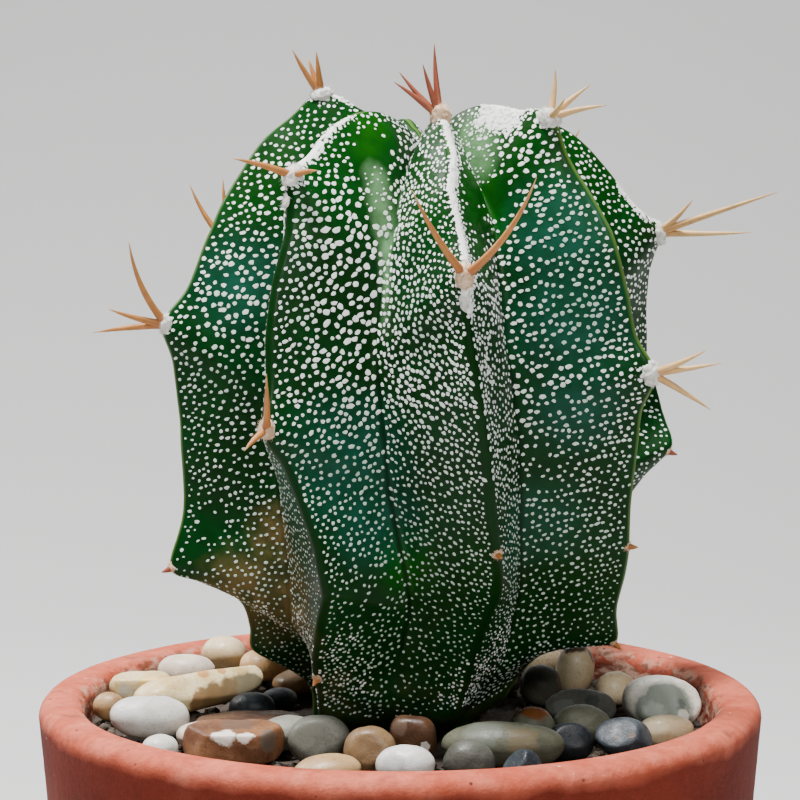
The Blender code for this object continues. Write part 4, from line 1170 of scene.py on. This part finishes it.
def wool_material(name, dark, light):
    made, tree, shader = new_material(name, Roughness=0.95, Sheen_Weight=0.5, Sheen_Roughness=0.4)
    tone = blend(tree, spread(tree, grain(tree, 0.9, 5), 0.3, 0.7), dark, light)
    feed(tree, shader.inputs["Base Color"], tone)
    feed(tree, shader.inputs["Normal"], relief(tree, grain(tree, 0.2, 5), 0.12))
    return made


TAN = spine_material("tan_spine", (0.34, 0.11, 0.03), (0.46, 0.185, 0.045), (0.60, 0.37, 0.15))
RED = spine_material("red_spine", (0.42, 0.17, 0.07), (0.30, 0.075, 0.035), (0.30, 0.085, 0.04))
PALE = spine_material("pale_spine", (0.55, 0.27, 0.09), (0.68, 0.43, 0.18), (0.60, 0.33, 0.13))
SPINE_SKINS = dict(C1=RED, D1=PALE, E1=PALE, D2=PALE)
WHITE_WOOL = wool_material("white_wool", (0.50, 0.48, 0.42), (0.84, 0.83, 0.78))
TAN_WOOL = wool_material("tan_wool", (0.42, 0.24, 0.12), (0.78, 0.60, 0.42))
WOOL_SKINS = dict(C1=TAN_WOOL, C2=TAN_WOOL, B2=TAN_WOOL)
print("spine and wool finishes ready")

# %% [markdown]
# The wool at a spine's foot is a mass of short hairs. A lumpy cushion with some hundred bent hairs does for
# that, because at this size only the uneven edge can be seen. A cushion is an icosphere pushed about by
# noise, and each hair is a thin cone of three sides.

# %% Wool
PAD_RADII = (1.5, 1.9, 1.2)


def pad_matrix(spot, radii):
    """Turns a unit ball into a cushion that sits in an areole's place."""
    place, outward, along = spot
    turn = Matrix((along.cross(outward), along, outward)).transposed()
    return Matrix.Translation(place - outward * PAD_SUNK) @ turn.to_4x4() @ Matrix.Diagonal((*radii, 1))


def add_hair(bm, root, direction, length, width, draw):
    """One bent hair, a long thin cone of three sides."""
    hair = bmesh.ops.create_cone(bm, segments=3, radius1=width, radius2=0, depth=length, cap_ends=True)
    turn = direction.to_track_quat("Z", "Y").to_matrix().to_4x4()
    sway = Vector((draw.uniform(-1, 1), draw.uniform(-1, 1), 0)) * length * 0.25
    for v in hair["verts"]:
        share = v.co.z / length + 0.5
        v.co = turn @ (v.co + Vector((0, 0, length / 2)) + sway * share * share) + root


WOOL_SIZES = dict(  # half its width, half its length along the crest and half its height
    A1=(1.7, 2.2, 1.5),
    B1=(1.7, 2.3, 1.4),
    C1=(1.9, 2.1, 2.5),
    C2=(1.7, 2.4, 1.5),
    D1=(2.0, 2.2, 1.7),
    D2=(1.8, 2.3, 1.5),
    E1=(1.9, 2.5, 1.6),
)


def make_wool(label, spot, skin, radii=PAD_RADII, hairs=170, name="wool"):
    draw = random.Random(f"{name}{label}")
    bm = bmesh.new()
    matrix = pad_matrix(spot, radii)
    bmesh.ops.create_icosphere(bm, subdivisions=4, radius=1, matrix=matrix)
    middle = matrix.translation
    for v in bm.verts:
        lump = noise.noise(v.co * 1.1) * 0.16 + noise.noise(v.co * 3.1) * 0.12 + noise.noise(v.co * 8) * 0.06
        v.co += (v.co - middle) * (lump - 0.08)
    roots = [v.co.copy() for v in bm.verts if (v.co - middle).dot(spot[1]) > 0.1]
    for _ in range(hairs):
        root = draw.choice(roots)
        outwards = (root - middle).normalized()
        lean = Vector([draw.uniform(-0.7, 0.7) for _ in range(3)])
        start = root - outwards * 0.15
        add_hair(bm, start, (outwards + lean).normalized(), draw.uniform(0.4, 0.85), 0.045, draw)
    finish_bmesh(bm, f"{name}_{label}", skin)


print(f"{len(WOOL_SIZES)} cushions with a size of their own")

# %% [markdown]
# Each areole now gets its spines and its wool. All of its spines start from one place under its cushion. On
# the far side of the plant a seeded draw fans out three of them. Two areoles in front also have wool that
# runs down the crest below them.

# %% Dressing the areoles
SKIRTS = {"B1": 3.0, "C2": 3.2}  # how far below its areole the wool's middle lies
SKIRT_RADII = (0.85, 2.3, 0.75)
SKIRT_SUNK = 1.2
SKIRT_HAIRS = 90


def make_spines(label, spot, draw):
    place, outward, _ = spot
    root = place - outward * PAD_SUNK
    bm = bmesh.new()
    tip_layer = bm.verts.layers.float.new("tip")
    for right, back, up, bow in SPINES.get(label) or hidden_spines(spot, draw):
        step = Vector((right, back, up))
        chord = (place + step - root).normalized()
        add_spine(bm, tip_layer, root, place + step, bow_direction(chord, outward, step) * bow)
    skin = SPINE_SKINS.get(label, TAN)
    finish_bmesh(bm, f"spines_{label}", skin, [f"areole_{label}"])


hidden_draw = random.Random(11)
for label, spot in areoles.items():
    make_spines(label, spot, hidden_draw)
    make_wool(label, spot, WOOL_SKINS.get(label, WHITE_WOOL), WOOL_SIZES.get(label, PAD_RADII))
for label, shift in SKIRTS.items():
    place, outward, along = areoles[label]
    below = (place + along * shift - outward * SKIRT_SUNK, outward, along)
    make_wool(label, below, WHITE_WOOL, SKIRT_RADII, SKIRT_HAIRS, "wool_skirt")
print(f"{len(areoles)} areoles dressed")

# %% [markdown]
# Low on the crests the old areoles have lost their spines. What is left is a knob of brown wool with the
# broken foot of a spine in it, so each is a small cushion with a short blunt stump.

# %% Worn areoles
STUMP_SUNK = 0.6
STUMP_LENGTH = 1.9
STUMP_THICKNESS = 1.3
RED_STUMPS = "AEG"
NUB_RADII = (0.95, 1.05, 1.0)
NUB_HAIRS = 60


def make_nub(label, spot):
    place, outward, along = spot
    root, end = place - outward * STUMP_SUNK, place + outward * STUMP_LENGTH
    bm = bmesh.new()
    tip_layer = bm.verts.layers.float.new("tip")
    add_spine(bm, tip_layer, root, end, along * 0.2, STUMP_THICKNESS)
    finish_bmesh(bm, f"stump_{label}", RED if label[0] in RED_STUMPS else TAN)
    make_wool(label, spot, TAN_WOOL, NUB_RADII, NUB_HAIRS, "nub")


for label, spot in nubs.items():
    make_nub(label + "_worn", spot)
print(f"{len(nubs)} worn areoles dressed")

# %% [markdown]
# River pebbles are worn round by water, but each keeps something of the rock it broke from: a flat face, a
# dimple, a blunt edge. Each starts from its own CAD solid, which already lies in its bed, is cut finer, and
# is then pressed against planes for its flats and worn a little by noise.

# %% Shaping a pebble
STONES = sorted(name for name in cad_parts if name.startswith("pebble_"))
SMOOTHINGS = 3
PEBBLE_WEAR = ((5, 0.36), (1.6, 0.1))  # width and depth in mm
EVEN_WEAR = 0.1
SOFT_EDGE = 0.3
FLATS = {  # stone: faces pressed flat, each as direction and share of its half size left
    "01": [((0, 0, 1), 0.75), ((0.6, -0.6, 0.5), 0.82)],
    "02": [((0.0, -0.15, 1.0), 0.66), ((-0.7, -0.5, 0.3), 0.84), ((0.75, -0.55, 0.1), 0.82),
           ((0, -1, 0.1), 0.8)],
    "04": [((-0.19, 0.29, 0.94), 0.62), ((0.41, -0.62, 0.66), 0.42)],
    "06": [((0, -0.3, 1), 0.8), ((0, -1, 0.1), 0.86)],
    "12": [((0, -1, 0.3), 0.8)],
    "13": [((0, -1, 0.25), 0.8)],
    "18": [((-0.6, -0.5, 0.7), 0.66), ((0.8, -0.5, 0.5), 0.76)],
    "22": [((-0.2, -0.5, 0.85), 0.66), ((0.6, -0.7, 0.4), 0.76)],
    "25": [((0.0, -0.85, 0.5), 0.58), ((0.5, -0.7, 0.5), 0.74)],
    "27": [((0.1, -0.7, 0.6), 0.8)],
    "28": [((-0.2, -0.6, 0.75), 0.66), ((0.8, -0.3, 0.4), 0.76)],
}


def pebble_bmesh(name):
    """A finer and smoother copy of a pebble's solid, in millimetres."""
    bm = bmesh.new()
    bm.from_mesh(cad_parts[name].data)
    bmesh.ops.scale(bm, vec=(1 / MM, 1 / MM, 1 / MM), verts=bm.verts)
    bmesh.ops.remove_doubles(bm, verts=bm.verts, dist=0.01)
    bmesh.ops.subdivide_edges(bm, edges=bm.edges, cuts=3, use_grid_fill=True, smooth=0.6)
    bmesh.ops.triangulate(bm, faces=bm.faces)
    for _ in range(SMOOTHINGS):
        bmesh.ops.smooth_vert(bm, verts=bm.verts, factor=0.5,
                              use_axis_x=True, use_axis_y=True, use_axis_z=True)
    return bm


def press_flat(bm, low, high, direction, share):
    """Presses everything beyond a plane back to it, leaving a soft edge."""
    middle, half = (low + high) / 2, (high - low) / 2
    direction = Vector(direction).normalized()
    reach = math.sqrt(sum((d * h) ** 2 for d, h in zip(direction, half)))
    for v in bm.verts:
        beyond = (v.co - middle).dot(direction) - reach * share
        if beyond > -SOFT_EDGE:
            v.co -= direction * 0.9 * (beyond + SOFT_EDGE) ** 2 / (beyond + 2 * SOFT_EDGE)


def make_pebble(name, skin):
    number = name[-2:]
    bm = pebble_bmesh(name)
    low, high = (Vector(corner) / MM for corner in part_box(name))
    for direction, share in FLATS.get(number, ()):
        press_flat(bm, low, high, direction, share)
    bm.normal_update()
    offset = Vector((float(number) * 7, 3, 1))
    for v in bm.verts:
        v.co -= v.normal * max(0, EVEN_WEAR + lumpy(v.co, PEBBLE_WEAR, offset))
    finish_bmesh(bm, f"stone_{number}", skin, [name])


print(f"{len(FLATS)} of {len(STONES)} stones with flats")

# %% [markdown]
# The bed is a mix of quartz, limestone, slate and rusty sandstone. One recipe makes them all: two tones mixed
# by broad noise, a darker speckle, pale veins where a stretched noise crosses its middle, and a polish. Each
# kind of stone only changes the numbers, and a few stones have a mark of their own, such as a quartz patch.

# %% Kinds of stone
KINDS = {  # two main tones, speck colour, vein colour, veins' strength, roughness
    "rust": ((0.30, 0.135, 0.060), (0.14, 0.055, 0.025), (0.05, 0.025, 0.015), (0.52, 0.34, 0.22), 0.1, 0.42),
    "slate": ((0.046, 0.055, 0.062), (0.014, 0.018, 0.023), (0.08, 0.085, 0.085), (0.13, 0.14, 0.145),
              0.1, 0.4),
    "honey": ((0.84, 0.67, 0.36), (0.68, 0.45, 0.17), (0.25, 0.20, 0.14), (0.88, 0.80, 0.62), 0.4, 0.42),
    "pale": ((0.80, 0.66, 0.54), (0.62, 0.48, 0.37), (0.42, 0.32, 0.26), (0.86, 0.80, 0.72), 0.3, 0.4),
    "white": ((0.86, 0.84, 0.78), (0.70, 0.67, 0.60), (0.46, 0.43, 0.38), (0.92, 0.91, 0.88), 0.3, 0.36),
    "tan": ((0.50, 0.31, 0.14), (0.34, 0.19, 0.08), (0.15, 0.09, 0.05), (0.66, 0.50, 0.31), 0.2, 0.42),
    "cream": ((0.88, 0.72, 0.46), (0.74, 0.53, 0.29), (0.42, 0.30, 0.19), (0.92, 0.84, 0.68), 0.2, 0.36),
    "grey": ((0.25, 0.248, 0.205), (0.155, 0.155, 0.127), (0.08, 0.078, 0.065), (0.40, 0.40, 0.34),
             0.2, 0.42),
    "moss": ((0.27, 0.270, 0.185), (0.18, 0.180, 0.118), (0.10, 0.098, 0.065), (0.42, 0.41, 0.31), 0.2, 0.42),
    "shell": ((0.86, 0.82, 0.70), (0.70, 0.66, 0.55), (0.35, 0.35, 0.31), (0.90, 0.87, 0.80), 0.3, 0.36),
}
SHADES = {  # stones lighter or darker than their kind, by own tone and by painted light and shade
    "01": 0.35, "02": 0.9, "03": 0.7, "04": 1.05, "06": 1.0, "08": 0.95, "10": 1.6, "12": 0.7, "13": 0.52,
    "15": 0.32, "16": 0.45, "17": 0.45, "18": 1.1, "19": 0.55, "20": 0.55, "21": 0.62, "22": 0.42, "23": 1.1,
    "24": 1.1, "26": 0.62, "27": 0.4, "28": 1.15, "29": 0.95,
}
MARKS = {  # stone: marks of its own, each as place in its box from -1 to 1, radius in mm, colour
    # The last mark of stone 02, dark brown over its top, is painted shade.
    "02": [((-0.15, -0.8, 0.75), 2.3, (0.74, 0.66, 0.58)), ((0.25, -0.85, 0.6), 1.5, (0.68, 0.58, 0.50)),
           ((0.8, -0.6, 0.2), 2.4, (0.14, 0.10, 0.075)), ((0.1, 0.2, 1.0), 3.0, (0.12, 0.065, 0.04))],
    "04": [((0.1, -0.58, -0.3), 2.3, (0.22, 0.125, 0.05)), ((0.3, -0.36, -0.2), 2.7, (0.16, 0.095, 0.038)),
           ((0.55, -0.04, -0.15), 3.0, (0.14, 0.09, 0.04)), ((0.8, 0.22, 0.0), 3.0, (0.16, 0.13, 0.075)),
           ((0.08, -0.1, 0.75), 1.1, (0.52, 0.26, 0.09)), ((0.35, 0.18, 0.8), 0.9, (0.50, 0.27, 0.10))],
    "06": [((-0.45, -0.9, -0.1), 1.1, (0.50, 0.44, 0.33)), ((0.35, -0.8, 0.2), 1.8, (0.80, 0.55, 0.18)),
           ((-0.1, -0.9, -0.4), 0.8, (0.40, 0.35, 0.27))],
    # This dark mark on the top of stone 12 is painted shade.
    "12": [((-0.4, -0.6, 0.5), 2.6, (0.15, 0.15, 0.12))],
    "13": [((0.1, -1, -0.1), 0.55, (0.60, 0.50, 0.32))],
    "14": [((-0.4, -0.8, 0.3), 1.8, (0.50, 0.50, 0.47)), ((0.4, -0.8, 0.2), 1.3, (0.60, 0.60, 0.57))],
    "15": [((0.5, -0.9, -0.1), 0.8, (0.60, 0.56, 0.50)), ((-0.5, -0.5, 0.6), 1.4, (0.10, 0.06, 0.04))],
    # These dark marks on stone 16 are partly painted shade and partly its own colour.
    "16": [((-0.35, -0.5, 0.7), 3.2, (0.11, 0.118, 0.092)), ((0.3, -0.7, 0.3), 2.6, (0.12, 0.095, 0.052))],
    "19": [((0.1, -0.2, 1.0), 2.6, (0.15, 0.050, 0.012)), ((-0.6, 0.0, 0.9), 1.4, (0.06, 0.03, 0.012))],
    # The dark brown top of stone 21 is partly painted shadow.
    "21": [((0.0, 0.0, 1.05), 2.6, (0.05, 0.03, 0.017)), ((0.9, 0, 0.5), 1.6, (0.10, 0.075, 0.05))],
    "22": [((-0.5, -0.6, 0.3), 1.8, (0.11, 0.115, 0.10)), ((0.3, -0.6, 0.6), 1.4, (0.04, 0.045, 0.04))],
    "25": [((0.05, -0.95, -0.1), 5.4, (0.15, 0.17, 0.135)), ((0.5, -0.8, 0.2), 1.6, (0.08, 0.09, 0.078)),
           ((-0.25, -0.9, -0.1), 2.2, (0.24, 0.27, 0.21)), ((0.1, -0.95, -0.6), 1.2, (0.06, 0.07, 0.06)),
           ((0.5, -0.8, -0.3), 1.1, (0.42, 0.40, 0.33))],
    "28": [((0.2, -0.6, 0.2), 0.7, (0.09, 0.055, 0.035)), ((-0.3, -0.7, 0.3), 0.5, (0.09, 0.06, 0.04))],
}
POLISHED = ("honey", "pale", "white", "tan", "cream", "shell")
STONE_KINDS = dict(
    rust=(1, 2, 15, 37, 38),
    slate=(3, 18, 27, 28, 32),
    honey=(4, 6, 35, 40),
    pale=(5, 31, 34),
    white=(7, 9, 14),
    tan=(8, 10, 13, 33, 39),
    cream=(11, 21, 23, 24, 29),
    grey=(12, 17, 22, 36, 42),
    moss=(16, 19, 20, 26, 30, 41),
    shell=(25,),
)
KIND_OF = {number: kind for kind, numbers in STONE_KINDS.items() for number in numbers}
print(f"{len(KINDS)} kinds, {len(MARKS)} stones with marks")

# %% [markdown]
# Every stone has a material of its own, because its tone, partly painted light and shade, and its marks are
# its own. A mark is a ball at a place in the stone's box. Noise pushes its edge in and out, so that it looks
# like a stain and not a dot.

# %% Stone finishes
def mark(tree, tone, place, radius, colour):
    """A blotch with an uneven edge, painted over a tone at a place in millimetres."""
    coordinates = tree.nodes.new("ShaderNodeTexCoord")
    distance = tree.nodes.new("ShaderNodeVectorMath")
    distance.operation = "DISTANCE"
    tree.links.new(coordinates.outputs["Object"], distance.inputs[0])
    distance.inputs[1].default_value = Vector(place) * MM
    uneven = spread(tree, grain(tree, radius * 0.6, 5), 0, 1, 0.5, 1.5)
    uneven = calculate(tree, "MULTIPLY", uneven, radius * MM)
    edge = calculate(tree, "SUBTRACT", distance.outputs["Value"], uneven)
    return blend(tree, spread(tree, edge, -0.15 * radius * MM, 0.12 * radius * MM, 1, 0), tone, colour)


def stone_material(number, kind, box):
    """The finish of one stone: its kind's recipe, with its own marks."""
    light, dark, speck, vein, veins, rough = KINDS[kind]
    coat, gloss = (0.1, 0.35) if kind in POLISHED else (0, 0.22)
    made, tree, shader = new_material(f"{kind}_stone_{number}", Coat_Weight=coat, Coat_Roughness=0.3)
    shader.inputs["Specular IOR Level"].default_value = gloss
    own = SHADES.get(number, 1 + 0.35 * noise.noise(Vector((int(number) * 3.7, 1.3, 0.2))))
    size = 3.5 + 4 * abs(noise.noise(Vector((int(number) * 5.3, 0.4, 7.1))))
    tone = blend(tree, spread(tree, grain(tree, size, 5), 0.36, 0.66), light, dark)
    tone = blend(tree, spread(tree, grain(tree, 0.5, 4), 0.56, 0.75, 0, 0.7), tone, speck)
    stretched = grain(tree, size * 1.3, 3, (1, 1.6, 2.6))
    off_middle = calculate(tree, "ABSOLUTE", calculate(tree, "SUBTRACT", stretched, 0.5))
    tone = blend(tree, spread(tree, off_middle, 0.0, 0.025, veins, 0), tone, vein)
    # The factor holds the stone's own tone, with painted shade on stones under the plant and painted light on
    # lit ones.
    tone = blend(tree, 1.0, tone, tuple([0.85 * own] * 3), "MULTIPLY")
    low, high = box
    for share, radius, colour in MARKS.get(number, ()):
        place = [(a + b) / 2 + s * (b - a) / 2 for a, b, s in zip(low, high, share)]
        tone = mark(tree, tone, place, radius, colour)
    feed(tree, shader.inputs["Base Color"], tone)
    dulled = spread(tree, grain(tree, 1.2, 5), 0.3, 0.7, rough - 0.08, rough + 0.16)
    feed(tree, shader.inputs["Roughness"], dulled)
    fine = relief(tree, grain(tree, 0.3, 5), 0.04)
    feed(tree, shader.inputs["Normal"], relief(tree, grain(tree, 2.2, 5), 0.12, fine))
    return made


for name in STONES:
    kind = KIND_OF[int(name[-2:])]
    box = [Vector(corner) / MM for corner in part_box(name)]
    make_pebble(name, stone_material(name[-2:], kind, box))
print(f"{len(STONES)} stones")

# %% [markdown]
# Under the pebbles lies a dark mix of pumice, grit and peat. It is one profile spun round the pot's axis, and
# its upper inner rings slide over to the plant's neck, so that it closes round it.

# %% The soil
SOIL_LEVEL = -6.4
NECK_RADIUS = 13.0
POT_FLOOR = 7.3
SOIL_SIDES = 120
SOIL_RINGS = 34
SOIL_SINK = 0.3
WALL_GAP = 0.4
CORE_RADIUS = 3
HOLE_WALL = 12
HOLE_FOOT = 20
SOIL_LUMPS = ((2.2, 0.5), (0.9, 0.25))  # width and height in mm


def soil_level(x, y):
    """Height of the soil, which is banked up against the back and the left of the pot."""
    outwards = np.interp(math.hypot(x, y), (24, 46), (0, 1))
    towards_bank = np.interp(-0.7 * x + 0.8 * y, (-14, 26), (0, 1))
    return float(SOIL_LEVEL + 2.0 * outwards * towards_bank)


def make_soil(skin):
    wall = inner_wall(RIM + SOIL_LEVEL) - WALL_GAP
    hole = NECK_RADIUS + 1.0
    top = [(r, RIM + SOIL_LEVEL) for r in np.linspace(hole, wall, SOIL_RINGS)]
    base = [(inner_wall(POT_FLOOR) - WALL_GAP, POT_FLOOR), (CORE_RADIUS, POT_FLOOR)]
    bm = spun(top + base + [(CORE_RADIUS, RIM - HOLE_FOOT), (hole, RIM - HOLE_WALL)], SOIL_SIDES)
    for v in bm.verts:
        radius = math.hypot(v.co.x, v.co.y)
        if v.co.z > RIM - HOLE_FOOT - 1:
            slide = 1 - np.interp(radius, (hole, wall - 2), (0, 1))
            v.co += Vector((AXIS[0][1], PLANT_BACK, 0)) * slide
        if v.co.z > RIM + SOIL_LEVEL - 1:
            rough_ground = lumpy(v.co, SOIL_LUMPS) * np.interp(radius, (wall - 1, wall), (1, 0))
            v.co.z = RIM + soil_level(v.co.x, v.co.y) + rough_ground - SOIL_SINK
    finish_bmesh(bm, "growing_mix_surface", skin, ["growing_mix"])


def soil_material(name, shaded):
    made, tree, shader = new_material(name, Roughness=0.95)
    mottle = spread(tree, grain(tree, 1.2, 5), 0.35, 0.65)
    tone = blend(tree, mottle, (0.024, 0.016, 0.011), (0.06, 0.042, 0.03))
    # The grit between the stones is kept this dark partly as painted shade in the gaps.
    if shaded:
        tone = blend(tree, attribute(tree, "shade"), tone, (0.10, 0.075, 0.052))
    feed(tree, shader.inputs["Base Color"], tone)
    feed(tree, shader.inputs["Normal"], relief(tree, grain(tree, 0.4, 5), 0.25))
    return made


make_soil(soil_material("dark_mix", shaded=False))
print("soil laid")

# %% [markdown]
# Loose grains lie on the soil, each a small ball with flat faces, half sunk in. They are thrown evenly over
# the ring between the plant's neck and the pot's wall, and each has a shade of its own.

# %% Loose grit
GRAINS = 1500
GRIT_REACH = (15, 52)
GRIT_EDGE = 51.5


def make_grit(skin):
    draw = random.Random(5)
    bm = bmesh.new()
    shade = bm.verts.layers.float.new("shade")
    inner, outer = GRIT_REACH
    for _ in range(GRAINS):
        radius = inner + (outer - inner) * math.sqrt(draw.random())
        bearing = draw.uniform(0, math.tau)
        x, y = radius * math.cos(bearing), radius * math.sin(bearing)
        size = draw.uniform(0.4, 1.5)
        from_neck = math.hypot(x - AXIS[0][1], y - PLANT_BACK)
        if from_neck < NECK_RADIUS + 1 or radius + size > GRIT_EDGE:
            continue
        squash = Matrix.Diagonal((size, size * draw.uniform(0.6, 1), size * draw.uniform(0.5, 0.9), 1))
        turn = Matrix.Rotation(draw.uniform(0, math.tau), 4, "Z")
        turn = turn @ Matrix.Rotation(draw.uniform(-1, 1), 4, "X")
        place = Matrix.Translation((x, y, RIM + soil_level(x, y)))
        grain_ball = bmesh.ops.create_icosphere(bm, subdivisions=1, radius=1, matrix=place @ turn @ squash)
        tone = draw.random()
        for v in grain_ball["verts"]:
            v.co += Vector([draw.uniform(-0.12, 0.12) * size for _ in range(3)])
            v[shade] = tone
    finish_bmesh(bm, "loose_grit", skin)


make_grit(soil_material("grit", shaded=True))
print(f"{GRAINS} grains thrown")

# %% [markdown]
# The last cell marks the end of the script.

# %% The last lines
print("all pieces made")
